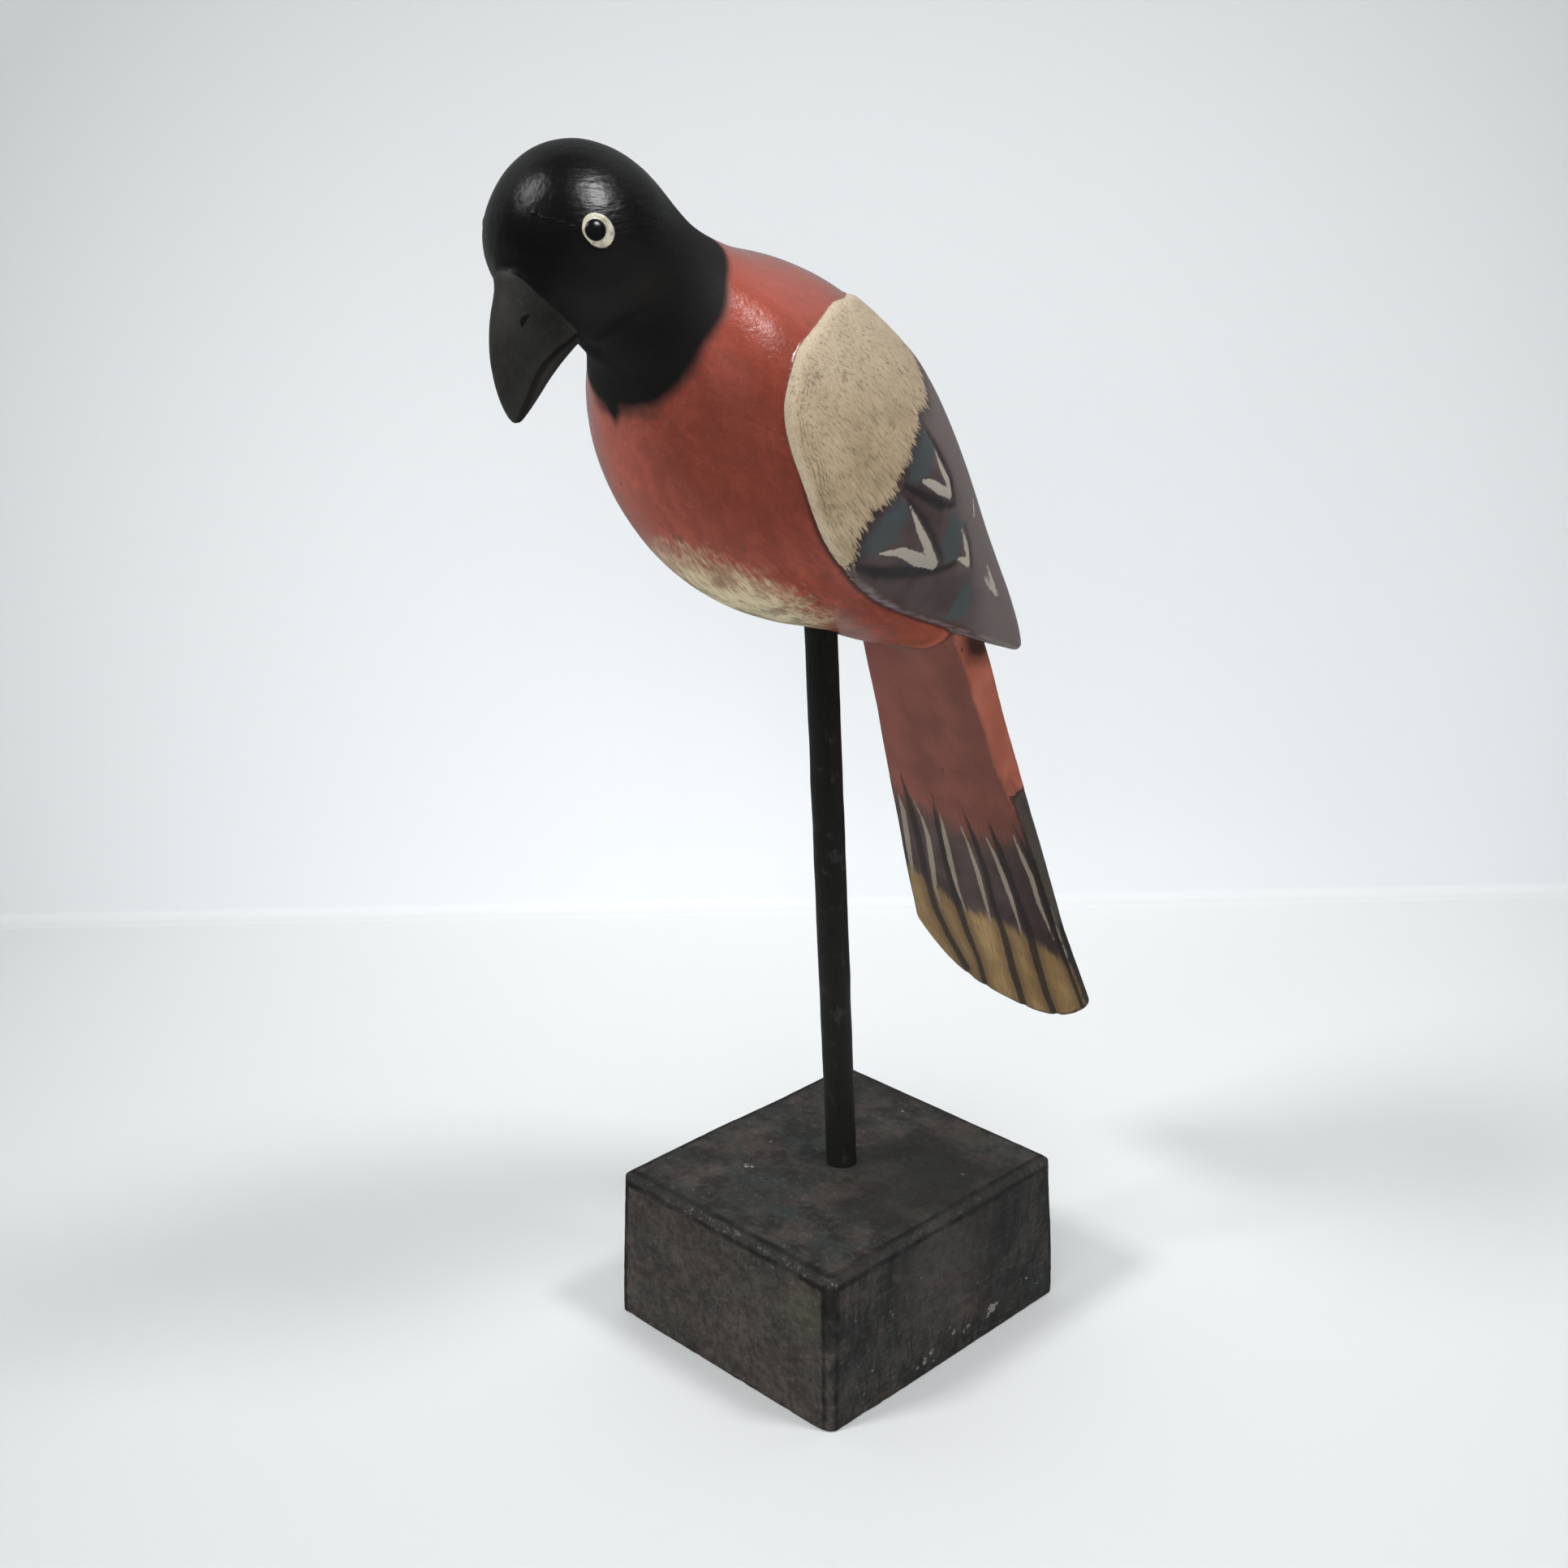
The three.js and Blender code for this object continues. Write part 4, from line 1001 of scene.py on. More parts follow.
def carving_paint(p, shader):
    place = p.millimetres()
    z = p.parts(place)[2]
    hood, belly, mouth = p.marks("body_marks")
    cream, pale, dark = p.marks("wing_marks")
    wing_edge, slate, nostril = p.marks("more_marks")
    on_wing, on_tail, on_beak = p.marks("regions")
    crease = p.attribute("brow_crease", "Fac")
    body = p.use(red_body, Place=place, Belly=belly)
    head = p.use(black_hood, Place=place, Hood=hood, Crease=crease)
    beak = p.use(charcoal_beak, Place=place, Mouth=mouth, Nostril=nostril)
    wing = p.use(painted_wing, Place=place, Edge=wing_edge, Cream=cream, Pale=pale, Dark=dark, Slate=slate)
    tail = p.use(painted_tail, Place=place, Spot=p.attribute("tail_spot"), Quills=p.attribute("tail_quills"),
                 Tips=p.attribute("tail_tips"))
    hood_mask = p.edge(hood, place, 1.3, 0.22, 5.0)
    tail_mask = p.edge(on_tail, place, 0.8, 0.3, 3.0)
    wing_mask = p.edge(on_wing, place, 0.12, 0.06, 1.5)
    beak_mask = p.edge(on_beak, place, 0.12, 0.05, 2.0)
    # Painted shade beside the wings' raised edges, strongest low down, and below the wing tips; a dark line,
    # partly painted shade, where the tail joins.
    beside_wing = p.band(on_wing, -1.1, -0.2, 0.0, 0.3)
    joint = p.add(p.math("ABSOLUTE", on_tail), p.times(p.noise(place, 2, 3), 0.5))
    below_wing = p.vector("DISTANCE", p.vector("ABSOLUTE", place), (16, 30, 176.5))
    below_wing = p.gained(p.noise(place, 4, 3), 5, below_wing)
    shade_strength = p.mix(p.ramp(z, 238, 216), 0.12, 0.85)
    colour = p.layers(body["Color"], (beside_wing, shade_strength, (0.030, 0.011, 0.008)))
    colour = p.blend(hood_mask, colour, head["Color"])
    colour = p.layers(
        p.blend(tail_mask, colour, tail["Color"]),
        # A dark line where the tail joins: a dark joint, partly painted shade.
        (p.ramp(joint, 0.75, 0.35), 0.6, (0.030, 0.013, 0.009)),
        # Painted shade below the wing tips.
        (p.ramp(below_wing, 8.5, 4.0), 0.88, (0.018, 0.009, 0.006)))
    colour = p.blend(wing_mask, colour, wing["Color"])
    colour = p.blend(beak_mask, colour, beak["Color"])
    rough, height = body["Roughness"], body["Height"]
    for mask, zone in ((hood_mask, head), (tail_mask, tail), (wing_mask, wing), (beak_mask, beak)):
        rough = p.mix(mask, rough, zone["Roughness"])
        height = p.mix(mask, height, zone["Height"])
    bare = p.times(p.less(1.0, p.math("MAXIMUM", hood_mask, wing_mask)), p.ramp(on_tail, 0.5, -0.5))
    p.feed(shader.inputs["Coat Weight"], p.times(bare, p.ramp(z, 216, 244)))
    shader.inputs["Coat Roughness"].default_value = 0.14
    return colour, rough, height


def eye_paint(p, shader):
    place = p.millimetres()
    around, pupil, _ = p.marks("eye_marks")
    cream = p.layers(
        p.blend(p.noise(place, 1.2, 3), (0.34, 0.31, 0.22), (0.66, 0.63, 0.52)),
        (p.blotches(place, 1.6, 0.3, 0.1), 0.6, (0.16, 0.13, 0.08)))
    colour = p.blend(p.edge(around, place, 0.1, 0.16, 1.6), (0.008, 0.008, 0.0085), cream)
    pupil_mask = p.ramp(pupil, -0.08, 0.08)
    colour = p.blend(pupil_mask, colour, (0.004, 0.004, 0.0045))
    return colour, p.mix(pupil_mask, 0.32, 0.2), p.times(p.noise(place, 1, 3), p.mix(pupil_mask, 0.12, 0.0))


def rod_paint(p, shader):
    place = p.millimetres()
    strokes = p.bristles(place, (math.radians(90), 0.0, 0.0), (0.5, 14.0, 0.5), 0.5)
    colour = p.layers(
        p.blend(strokes, (0.0028, 0.0028, 0.0023), (0.0076, 0.0076, 0.0060)),
        (p.ramp(p.parts(place)[2], 150, 60), 0.65, (0.0115, 0.0115, 0.0095)),
        (p.blotches(place, 5, 0.22, 0.06), 0.35, (0.06, 0.057, 0.05)))
    height = p.add(p.times(strokes, 0.25), p.times(p.noise(place, 3), 0.1))
    return colour, p.gained(strokes, 0.2, 0.40), height


def ragged_chips(p, place):
    """Ragged chips at the places listed for the plinth."""
    bent = p.vector("MULTIPLY_ADD", p.drift(place, 0.9, 3.0), (2.0, 2.0, 2.0), place)
    bent = p.shifted(bent, (-1.0, -1.0, -1.0))
    rims = [p.less(p.vector("DISTANCE", bent, spot), half) for *spot, half in PLINTH_CHIPS]
    return [p.ramp(reduce(p.least, rims), 0.15, -0.15)]


def bevel_lines(p, place, bevel):
    """Distances to the lines on both sides of the plinth's bevels, and into the bevels."""
    x, y, z = p.parts(place)
    down = p.less(PLINTH_HEIGHT, z)
    spread = p.times(down, PLINTH_FLARE / PLINTH_HEIGHT)
    in_x = p.less(p.add(spread, PLINTH_WIDTH / 2), p.math("ABSOLUTE", x))
    in_y = p.less(p.add(spread, PLINTH_LENGTH / 2), p.math("ABSOLUTE", y))
    in_side = p.least(in_x, in_y)
    lines = [p.math("SQRT", p.add(p.times(a, a), p.times(b, b)))
             for a, b in ((p.less(in_side, bevel), down), (in_side, p.less(down, bevel)),
                          (p.less(in_x, bevel), in_y), (in_x, p.less(in_y, bevel)))]
    return reduce(p.least, lines), p.less(bevel, p.least(p.add(in_side, down), p.add(in_x, in_y)))


chips = shader_group("chips", ragged_chips, MASK, Place="Vector")
block_lines = shader_group("block_lines", bevel_lines, {"Line": "Float", "Bevel Inside": "Float"},
                           Place="Vector", Bevel=2.0)


def plinth_paint(p, shader):
    place = p.millimetres()
    _, y, z = p.parts(place)
    on_top = p.ramp(z, 40.0, 40.8)
    off_top = p.less(1.0, on_top)
    # Brush strokes, smudges and fine hairs.
    brushed = p.bristles(place, (0.0, 0.35, 0.25), (7.0, 7.0, 0.5), 2.0)
    mottle = p.noise(place, 1.7, 5, 0.65)
    strokes = p.mix(on_top, p.mix(0.5, brushed, mottle), p.mix(0.6, 0.5, mottle))
    smudge = p.bristles(p.shifted(place, (9, 4, 1)), (0.15, 0.1, 0.0), (1.6, 1.6, 9.0), 4.0)
    hairs = p.bristles(place, (0.5, 0.7, 0.9), (0.22, 6.0, 6.0), 3.0)
    cloud = p.noise(place, 15, 4)
    # A darker patch on the top towards the back right, the pale front, a lighter patch in the middle of the
    # right side and a tinted corner.
    dark_top_patch = p.gained(cloud, 24, p.vector("DISTANCE", place, (23, 8, 41)))
    front = p.ramp(y, -PLINTH_LENGTH / 2 + 1.5, -PLINTH_LENGTH / 2)
    light_side_patch = p.ramp(p.vector("DISTANCE", place, (38, -2, 26)), 24, 6)
    tint = p.gained(mottle, 8, p.vector("DISTANCE", place, (28, -43, 30)))
    # Bevels, and the dark lines beside them.
    marks = p.use(block_lines, Place=place, Bevel=PLINTH_CHAMFER + 0.6)
    bevel = p.ramp(marks["Bevel Inside"], -0.3, 0.1)
    wobble = p.times(p.less(p.noise(place, 2.5, 4, 0.6), 0.5), 1.6)
    dark_line = p.ramp(p.add(marks["Line"], wobble), 1.35, 0.3)
    line_strength = p.mix(p.ramp(p.noise(p.shifted(place, (2, 6, 4)), 8), 0.38, 0.58), 0.45, 0.95)
    # Scratches, wear and chips.
    scratched = p.blotches(p.shifted(place, (12, 3, 40)), 2.6, 0.42, 0.06)
    worn_band = p.add(p.attribute("worn_band", "Fac"), p.times(wobble, 2.0))
    worn = p.times(p.blotches(place, 0.8, 0.36, 0.05), p.ramp(worn_band, -0.6, 1.2))
    rubbed = p.blotches(p.shifted(place, (4, 2, 6)), 2.2, 0.25, 0.05)
    knocked = p.use(chips, Place=place)["Mask"]
    speckle = p.ramp(p.noise(place, 0.7, 3), 0.35, 0.65)
    chip_tone = p.blend(speckle, (0.050, 0.050, 0.045), (0.30, 0.295, 0.28))
    colour = p.layers(
        p.blend(p.ramp(cloud, 0.34, 0.66), (0.020, 0.0200, 0.0180), (0.058, 0.044, 0.038)),
        (p.blotches(p.shifted(place, (7, 70, 3)), 11, 0.45, 0.10), 0.65, (0.020, 0.030, 0.026)),
        (p.blotches(p.shifted(place, (31, 8, 13)), 8, 0.42, 0.10), 0.7, (0.0075, 0.0068, 0.0066)),
        (p.ramp(strokes, 0.5, 0.66), 0.5, (0.098, 0.085, 0.076)),
        (p.ramp(strokes, 0.46, 0.34), 0.55, (0.009, 0.0085, 0.0085)),
        (p.times(p.ramp(smudge, 0.5, 0.64), off_top), 0.65, (0.0095, 0.0085, 0.0080)),
        (p.ramp(hairs, 0.69, 0.76), 0.4, (0.16, 0.15, 0.135)),
        (p.ramp(dark_top_patch, 46, 20), 0.75, (0.012, 0.0115, 0.0095)),
        (front, p.mix(p.ramp(mottle, 0.36, 0.62), 0.18, 0.42), (0.078, 0.061, 0.049)),
        (p.times(light_side_patch, off_top), 0.45, (0.085, 0.068, 0.062)),
        (p.ramp(tint, 14, 5), 0.4, (0.080, 0.074, 0.042)),
        (bevel, 0.72, (0.0150, 0.0145, 0.0135)),
        (p.times(bevel, p.ramp(z, 38.5, 37.0)), 0.75, (0.0065, 0.0060, 0.0058)),
        (dark_line, line_strength, (0.0035, 0.0032, 0.0032)),
        (p.times(scratched, off_top), 0.35, (0.010, 0.009, 0.0085)),
        (worn, 0.75, (0.19, 0.18, 0.16)),
        (p.times(rubbed, p.ramp(p.attribute("edge_gap", "Fac"), 2.4, 1.2)), 0.45, (0.10, 0.092, 0.080)),
        (knocked, 0.8, chip_tone))
    height = p.add(p.times(strokes, 0.35), p.times(p.noise(place, 1.4, 4), 0.28))
    height = p.add(height, p.times(knocked, -0.25))
    return colour, p.gained(cloud, 0.25, 0.55), p.add(height, p.times(worn, -0.2))


# Pieces

def vertex_places(piece):
    """Every vertex of a piece, in millimetres."""
    return np.array([v.co for v in piece.data.vertices]).T / MM


def carve_bird():
    low, high = (-46, -110, 54), (46, 76, 302)
    bird = mesh_object("carved_bird", *skin(carving_field, low, high, SKIN_SPACING))
    x, y, z = vertex_places(bird)
    body, wing, tail, beak = carving_parts(x, y, z)
    drip = HOOD_DRIP_LENGTH * np.exp(-(((x - HOOD_DRIP_X) / HOOD_DRIP_WIDTH) ** 2)) * ramp(-56, -60, y)
    hood = HOOD_SLOPE[0] * (y - HOOD_AT[0]) + HOOD_SLOPE[1] * (z - HOOD_AT[1]) + interp(z, HOOD_BEND)
    hood = hood + HOOD_RIGHT * ramp(0, -12, x) + drip + 0.5 * lumps(x, y, z, 9, 31)
    belly = -(BELLY_SLOPE[0] * (y - BELLY_AT[0]) + BELLY_SLOPE[1] * (z - BELLY_AT[1]))
    belly = belly - BELLY_REAR * ramp(-12, 10, y)
    along, ridge, _ = beak_place(y, z)
    note(bird, "body_marks", hood, belly, below_mouth(along, ridge))
    cream = outline_distance(y, z, CREAM_END + BEHIND_CREAM)
    note(bird, "wing_marks", cream, strokes_inside(y, z, PALE_STROKES), strokes_inside(y, z, DARK_BANDS_AND_SHADOWS))
    slate = np.max([-outline_distance(y, z, patch) for patch in SLATE_PATCHES], axis=0)
    note(bird, "more_marks", -wing_outline(y, z), slate, strokes_inside(along * BEAK_REACH, ridge, [NOSTRIL]))
    note(bird, "regions", np.minimum(body, tail) - wing, np.minimum(body, wing) - tail,
         body - beak + 0.15 * ramp(2.0, 8.0, ridge))
    note(bird, "brow_crease", CREASE_HALF_WIDTH - line_distance((np.abs(x), y, z), FOREHEAD_CREASE))
    across, down, out = tail_place(x, y, z)
    note(bird, "tail_spot", across, down, out)
    half = tail_half_width(down)
    outer = TAIL_RIM - np.minimum(half - np.abs(across), (tail_end(across) - down) * 0.8)
    rim = np.where(down > TAIL_RIM_FROM, outer, -5.0)
    note(bird, "tail_quills", strokes_inside(across, down, PALE_QUILLS),
         strokes_inside(across, down, DARK_QUILLS), rim)
    note(bird, "tail_tips", *tail_tips(across, down, out, half))
    return bird


def tail_tips(across, down, out, half):
    """How far past the start of the dark tips and of the tan ends, and where the left edge's strip is."""
    edge_face = ramp(0.7, 0.3, half - across) * ramp(0.1, 0.5, out)
    strip = ramp(-0.3, 0.3, across - interp(down, STRIP_EDGE)) * ramp(-0.5, 0.5, half + 1 - across)
    side = np.maximum(edge_face, strip)
    # On the strip the dark starts as a wedge that narrows upwards.
    wedge = np.maximum(down - 62, 1.6 * np.minimum(out - 1.8, 0.5 * (down - 43.8) - 1.2 * (out - 2.4)))
    past_red = (down - interp(across, DARK_START)) * (1 - side) + wedge * side
    return past_red, down - interp(across, TAN_START), side


def block_plinth():
    margin = 4
    low = (-PLINTH_WIDTH / 2 - margin, -PLINTH_LENGTH / 2 - margin, -3)
    high = (PLINTH_WIDTH / 2 + margin, PLINTH_LENGTH / 2 + margin, PLINTH_HEIGHT + 3)
    plinth = mesh_object("painted_plinth", *skin(plinth_field, low, high, PLINTH_SPACING))
    x, y, z = vertex_places(plinth)
    worn = np.max([half - line_distance((x, y, z), [start, end]) for start, end, half in WORN_EDGES], axis=0)
    note(plinth, "edge_gap", plinth_edge_gap(x, y, z))
    note(plinth, "worn_band", worn)
    return plinth


def geometry_tree(name, build, **inputs):
    """A geometry tree with named inputs. The result of its build function is smoothed and painted."""
    def finished(n, material, *values):
        whole = n.node("GeometryNodeRealizeInstances", {0: build(n, *values)}).outputs[0]
        smooth = n.node("GeometryNodeSetShadeSmooth", {0: whole}).outputs[0]
        return n.node("GeometryNodeSetMaterial", {0: smooth, "Material": material}).outputs[:1]

    sockets = {"Material": "Material"}
    sockets.update((title.replace("_", " "), kind) for title, kind in inputs.items())
    return new_tree(Nodes, "GeometryNodeTree", name, finished, sockets, {"Geometry": "Geometry"})


def made_by_nodes(name, tree, **values):
    """Runs a geometry tree and keeps its result as a plain mesh."""
    holder = bpy.data.objects.new(name + "_holder", bpy.data.meshes.new(name + "_empty"))
    bpy.context.scene.collection.objects.link(holder)
    modifier = holder.modifiers.new("nodes", "NODES")
    modifier.node_group = tree
    for item in tree.interface.items_tree:
        if item.item_type == "SOCKET" and item.in_out == "INPUT":
            modifier[item.identifier] = values[item.name.replace(" ", "_")]
    bpy.context.view_layer.update()
    graph = bpy.context.evaluated_depsgraph_get()
    mesh = bpy.data.meshes.new_from_object(holder.evaluated_get(graph), depsgraph=graph)
    mesh.name = name
    bpy.data.objects.remove(holder)
    piece = bpy.data.objects.new(name, mesh)
    bpy.context.scene.collection.objects.link(piece)
    return piece


def swept_rod(n, foot, top, diameter, unevenness, rings, sides):
    """A dowel swept from foot to top, a little uneven, with closed ends."""
    line = n.node("GeometryNodeCurvePrimitiveLine", {"Start": foot, "End": top}).outputs[0]
    path = n.node("GeometryNodeResampleCurve", {"Curve": line, "Count": rings}).outputs[0]
    radius = n.times(diameter, 0.5)
    circle = n.node("GeometryNodeCurvePrimitiveCircle", {"Resolution": sides, "Radius": radius}).outputs[0]
    bar = n.node("GeometryNodeCurveToMesh", {"Curve": path, "Profile Curve": circle, "Fill Caps": True})
    cloud = n.drift(n.node("GeometryNodeInputPosition").outputs[0], 90.0, 1.0)
    push = n.scaled(n.vector("SUBTRACT", cloud, (0.5, 0.5, 0.5)), unevenness)
    return n.node("GeometryNodeSetPosition", {"Geometry": bar.outputs[0], "Offset": push}).outputs[0]


def turned_eye(n, radius, depth, stand, pupil_radius, pupil_stand, pupil_shift, narrowing, lean, place, turn):
    """A round button: flat behind, low in front, with a domed pupil set off its middle."""
    ball = n.node("GeometryNodeMeshUVSphere", {"Segments": 56, "Rings": 48, "Radius": 1.0}).outputs[0]
    x, y, z = n.parts(n.node("GeometryNodeInputPosition").outputs[0])
    from_middle = n.math("SQRT", n.add(n.times(x, x), n.times(y, y)))
    dome = n.math("POWER", n.math("MAXIMUM", n.less(1.0, n.math("POWER", from_middle, 4.0)), 0.0), 0.5)
    oval = n.combined(n.times(x, narrowing), y)
    leaning = n.node("ShaderNodeVectorRotate", {"Vector": oval, "Angle": lean}, rotation_type="Z_AXIS")
    spread = n.scaled(leaning.outputs[0], radius)
    from_pupil = n.vector("DISTANCE", spread, pupil_shift)
    share = n.math("DIVIDE", from_pupil, pupil_radius)
    bead = n.math("SQRT", n.math("MAXIMUM", n.less(1.0, n.times(share, share)), 0.0))
    front = n.add(n.times(dome, stand), n.times(bead, pupil_stand))
    rear = n.times(n.times(dome, depth), -1.0)
    is_front = n.math("GREATER_THAN", z, 0.0)
    height = n.add(n.times(is_front, front), n.times(n.less(1.0, is_front), rear))
    spot = n.vector("ADD", spread, n.combined(0.0, 0.0, height))
    marks = n.combined(n.times(n.less(0.965, from_middle), n.times(radius, 1 / MM)),
                     n.times(n.less(pupil_radius, from_pupil), 1 / MM))
    kept = n.node("GeometryNodeStoreNamedAttribute", {"Geometry": ball, "Name": "eye_marks"},
                  data_type="FLOAT_VECTOR", domain="POINT")
    n.feed(kept.inputs["Value"], marks)
    shaped = n.node("GeometryNodeSetPosition", {"Geometry": kept.outputs[0], "Position": spot}).outputs[0]
    placed = {"Geometry": shaped, "Translation": place, "Rotation": turn}
    return n.node("GeometryNodeTransform", placed).outputs[0]


def eye_turn(side):
    """Turns the button's +Z outwards, with its +X towards the beak."""
    outward = Vector((side * EYE_OUT.x, EYE_OUT.y, EYE_OUT.z))
    forward = Vector((0.0, -1.0, -0.15))
    forward = (forward - outward * forward.dot(outward)).normalized()
    return Matrix((forward, outward.cross(forward), outward)).transposed().to_euler()


bird_finish = finish_material("carving_paint", carving_paint)
eye_finish = finish_material("eye_paint", eye_paint)
rod_finish = finish_material("rod_paint", rod_paint)
plinth_finish = finish_material("plinth_paint", plinth_paint)

bird = carve_bird()
bird.data.materials.append(bird_finish)
plinth = block_plinth()
plinth.data.materials.append(plinth_finish)

rod_tree = geometry_tree("whittled_rod", swept_rod, Foot="Vector", Top="Vector", Diameter="Float",
                         Unevenness="Float", Rings="Int", Sides="Int")
rod = made_by_nodes(
    "whittled_rod", rod_tree, Foot=[c * MM for c in rod_axis(ROD_FOOT_Z)],
    Top=[c * MM for c in rod_axis(ROD_TOP_Z)], Diameter=ROD_DIAMETER * MM, Unevenness=0.35 * MM, Rings=180,
    Sides=36, Material=rod_finish)

eye_tree = geometry_tree("turned_eye", turned_eye, Radius="Float", Depth="Float", Stand="Float",
                         Pupil_Radius="Float", Pupil_Stand="Float", Pupil_Shift="Vector", Narrowing="Float",
                         Lean="Float", Place="Vector", Turn="Rotation")


def shaped_eye(name, side):
    shift_x, shift_y = PUPIL_SHIFT
    x, y, z = EYE_PLACE
    return made_by_nodes(
        name, eye_tree, Radius=EYE_RADIUS * MM, Depth=EYE_DEPTH * MM, Stand=EYE_STAND * MM,
        Pupil_Radius=PUPIL_RADIUS * MM, Pupil_Stand=PUPIL_STAND * MM,
        Pupil_Shift=(shift_x * MM, side * shift_y * MM, 0.0), Narrowing=EYE_NARROWING,
        Lean=side * math.radians(EYE_LEAN), Place=[c * MM for c in (side * x, y, z)], Turn=eye_turn(side),
        Material=eye_finish)


eye_left, eye_right = shaped_eye("painted_eye_left", 1), shaped_eye("painted_eye_right", -1)

for piece, node, slot in ((bird, "bird", "bird_paint"), (plinth, "plinth", "plinth_paint"),
                          (rod, "rod", "rod_paint"), (eye_left, "eye_left", "eye_paint"),
                          (eye_right, "eye_right", "eye_paint")):
    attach(piece, "root")
    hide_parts(node)

# Studio

CAMERA_PLACE = (0.31841, -0.33894, 0.30831)
CAMERA_PITCH, CAMERA_YAW, CAMERA_ROLL = 19.406, 45.1, -0.2986
CAMERA_LENS, SENSOR_WIDTH = 46.875, 36.0
# The floor meets the wall on this line: distance behind the object and turn, in metres and degrees.
WALL_DISTANCE, WALL_ANGLE, WALL_BEND, WALL_HEIGHT, FLOOR_REACH = 0.265, 47.1, 0.005, 1.1, 2.5
# Polished surfaces see the floor only as far as this in front.
FLOOR_MIRRORED = 0.13
WALL_BACK = (-math.sin(math.radians(WALL_ANGLE)), math.cos(math.radians(WALL_ANGLE)), 0.0)
WALL_SIDE = (math.cos(math.radians(WALL_ANGLE)), math.sin(math.radians(WALL_ANGLE)), 0.0)
LIGHT_AIM = (0.0, -0.05, 0.24)
# Lights: direction from the bird's front and height in degrees, distance and size in metres, and power.
# Each gives either the light itself or only the shine on polished paint.
LIGHTS = {
    "left_window": (-28, 46, 1.5, (0.46, 0.66), 4.8, "shine"),
    "right_window": (97, 54, 1.5, (0.52, 0.5), 13.5, "shine"),
    "left_key": (-21, 46, 1.5, (0.32, 0.32), 13.5, "light"),
    "right_key": (118, 58, 1.5, (0.32, 0.32), 11.5, "light"),
    "overhead": (60, 82, 1.9, (2.0, 2.0), 10.0, "light"),
    "front_fill": (32, 14, 1.8, (1.8, 0.9), 22.0, "light"),
}


def set_camera():
    """The camera looks down on the bird's left side from in front."""
    data = bpy.data.cameras.new("camera")
    data.sensor_width = SENSOR_WIDTH
    data.lens = CAMERA_LENS
    data.clip_start = 0.01
    camera = bpy.data.objects.new("camera", data)
    turns = [Matrix.Rotation(math.radians(angle), 4, axis)
             for angle, axis in ((90 - CAMERA_YAW, "Z"), (90 - CAMERA_PITCH, "X"), (CAMERA_ROLL, "Z"))]
    camera.matrix_world = Matrix.Translation(CAMERA_PLACE) @ turns[0] @ turns[1] @ turns[2]
    bpy.context.scene.collection.objects.link(camera)
    bpy.context.scene.camera = camera


def backdrop():
    """A pale floor folded up into a wall behind the object. From behind, the wall is clear."""
    back, side = Vector(WALL_BACK), Vector(WALL_SIDE)
    middle = WALL_DISTANCE - WALL_BEND
    profile = [(-FLOOR_REACH, 0.0), (-FLOOR_MIRRORED, 0.0), (middle, 0.0)]
    profile += [(middle + WALL_BEND * math.sin(a), WALL_BEND - WALL_BEND * math.cos(a))
                for a in np.linspace(0, math.pi / 2, 13)[1:]]
    profile.append((WALL_DISTANCE, WALL_HEIGHT))
    paper = finish_material("backdrop_paper", backdrop_paper)
    for name, part, mirrored in (("front_floor", profile[:2], False), ("floor_and_wall", profile[1:], True)):
        points = [back * reach + side * across + Vector((0, 0, z)) for reach, z in part
                  for across in (-FLOOR_REACH, FLOOR_REACH)]
        faces = [(2 * i, 2 * i + 1, 2 * i + 3, 2 * i + 2) for i in range(len(part) - 1)]
        mesh = bpy.data.meshes.new(name)
        mesh.from_pydata(points, [], faces)
        mesh.polygons.foreach_set("use_smooth", [True] * len(faces))
        mesh.materials.append(paper)
        sheet = bpy.data.objects.new(name, mesh)
        sheet.visible_glossy = mirrored
        bpy.context.scene.collection.objects.link(sheet)


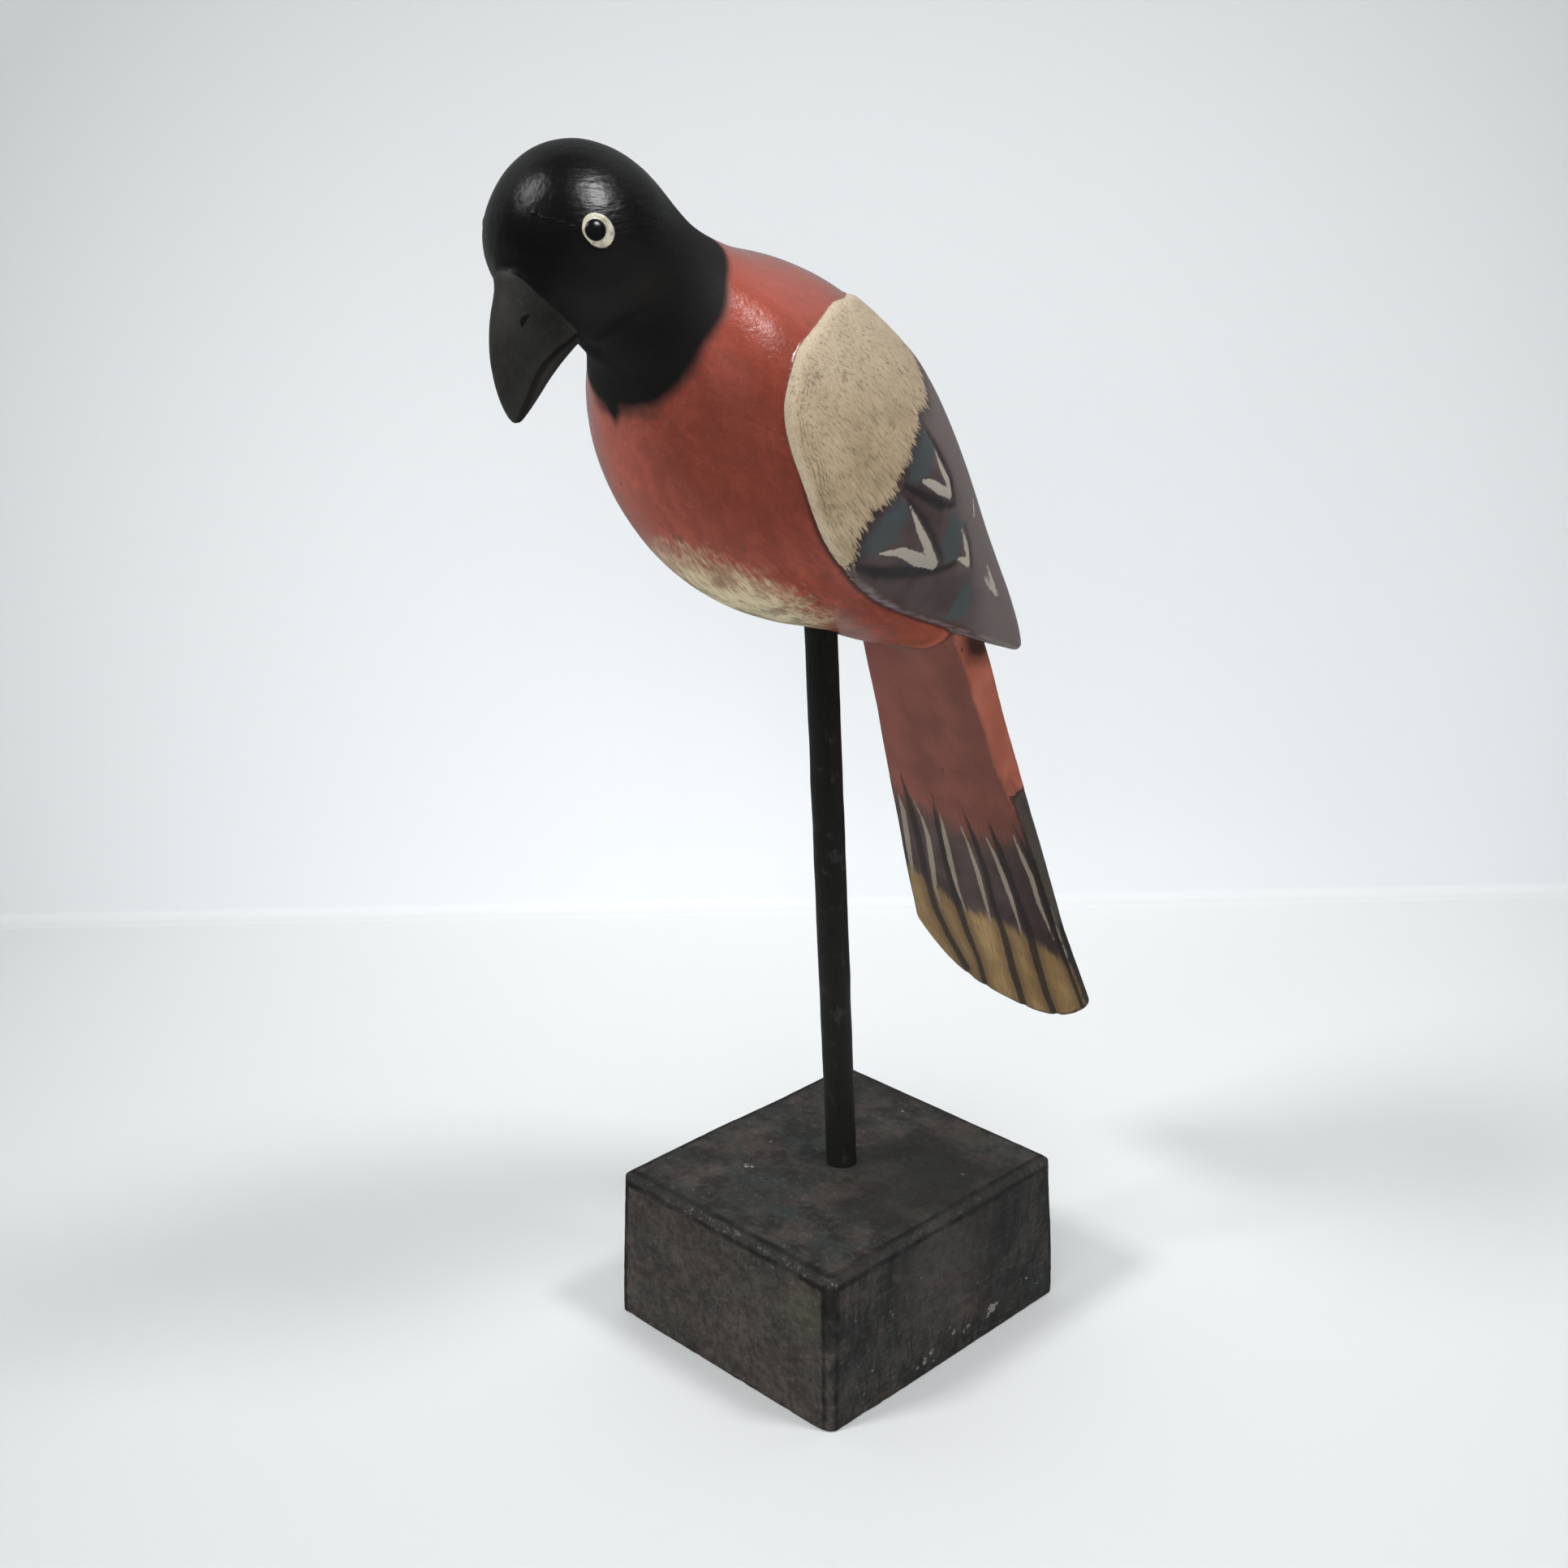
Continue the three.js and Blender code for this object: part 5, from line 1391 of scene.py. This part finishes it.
def backdrop_paper(p, shader):
    """Pale paper that darkens far from the object and in the fold."""
    place = p.millimetres()
    height = p.parts(place)[2]
    across = p.vector("DOT_PRODUCT", place, WALL_SIDE)
    before_wall = p.less(WALL_DISTANCE / MM, p.vector("DOT_PRODUCT", place, WALL_BACK))
    shares = [p.math("DIVIDE", way, size)
              for way, size in ((p.less(across, 45.0), 400.0), (height, 400.0), (before_wall, 750.0))]
    far = reduce(p.add, [p.times(share, share) for share in shares])
    shade = p.add(p.least(p.times(far, 0.38), 0.45), p.times(p.band(height, 0.02, 0.6, 2.5, 5.0), 0.06))
    tone = p.blend(p.ramp(height, 0.5, 4.0), (0.705, 0.724, 0.728), (0.818, 0.841, 0.854))
    tone = p.blend(shade, tone, (0.0, 0.0, 0.0))
    mirrored = p.node("ShaderNodeLightPath").outputs["Is Glossy Ray"]
    tone = p.layers(tone, (mirrored, 0.7, (0.02, 0.02, 0.02)))
    clear = p.node("ShaderNodeBsdfTransparent").outputs[0]
    from_behind = p.node("ShaderNodeNewGeometry").outputs["Backfacing"]
    mixed = p.node("ShaderNodeMixShader", {0: from_behind, 1: shader.outputs[0], 2: clear}).outputs[0]
    p.feed(p.tree.nodes["Material Output"].inputs["Surface"], mixed)
    return tone, 0.62, None


def softbox(name, azimuth, elevation, distance, size, power, gives):
    """An area light facing the bird."""
    data = bpy.data.lights.new(name, "AREA")
    data.shape = "RECTANGLE"
    data.size, data.size_y = size
    data.energy = power
    lamp = bpy.data.objects.new(name, data)
    turn, rise = math.radians(azimuth), math.radians(elevation)
    direction = Vector((math.sin(turn) * math.cos(rise), -math.cos(turn) * math.cos(rise), math.sin(rise)))
    lamp.location = Vector(LIGHT_AIM) + direction * distance
    lamp.rotation_euler = (-direction).to_track_quat("-Z", "Y").to_euler()
    lamp.visible_glossy = gives == "shine"
    lamp.visible_diffuse = gives == "light"
    bpy.context.scene.collection.objects.link(lamp)


def room_light():
    """Soft light from all round, which polished surfaces see as a dark room."""
    world = bpy.data.worlds.new("room")
    world.use_nodes = True
    p = Paint(world.node_tree)
    path = p.node("ShaderNodeLightPath").outputs
    air = world.node_tree.nodes["Background"].inputs
    p.feed(air["Color"], (0.93, 0.96, 1.0))
    p.feed(air["Strength"], p.mix(path["Is Camera Ray"], p.mix(path["Is Glossy Ray"], 0.12, 0.07), 0.85))
    return world


set_camera()
backdrop()
for light, settings in LIGHTS.items():
    softbox(light, *settings)
bpy.context.scene.world = room_light()
bpy.context.scene.view_settings.view_transform = "Standard"
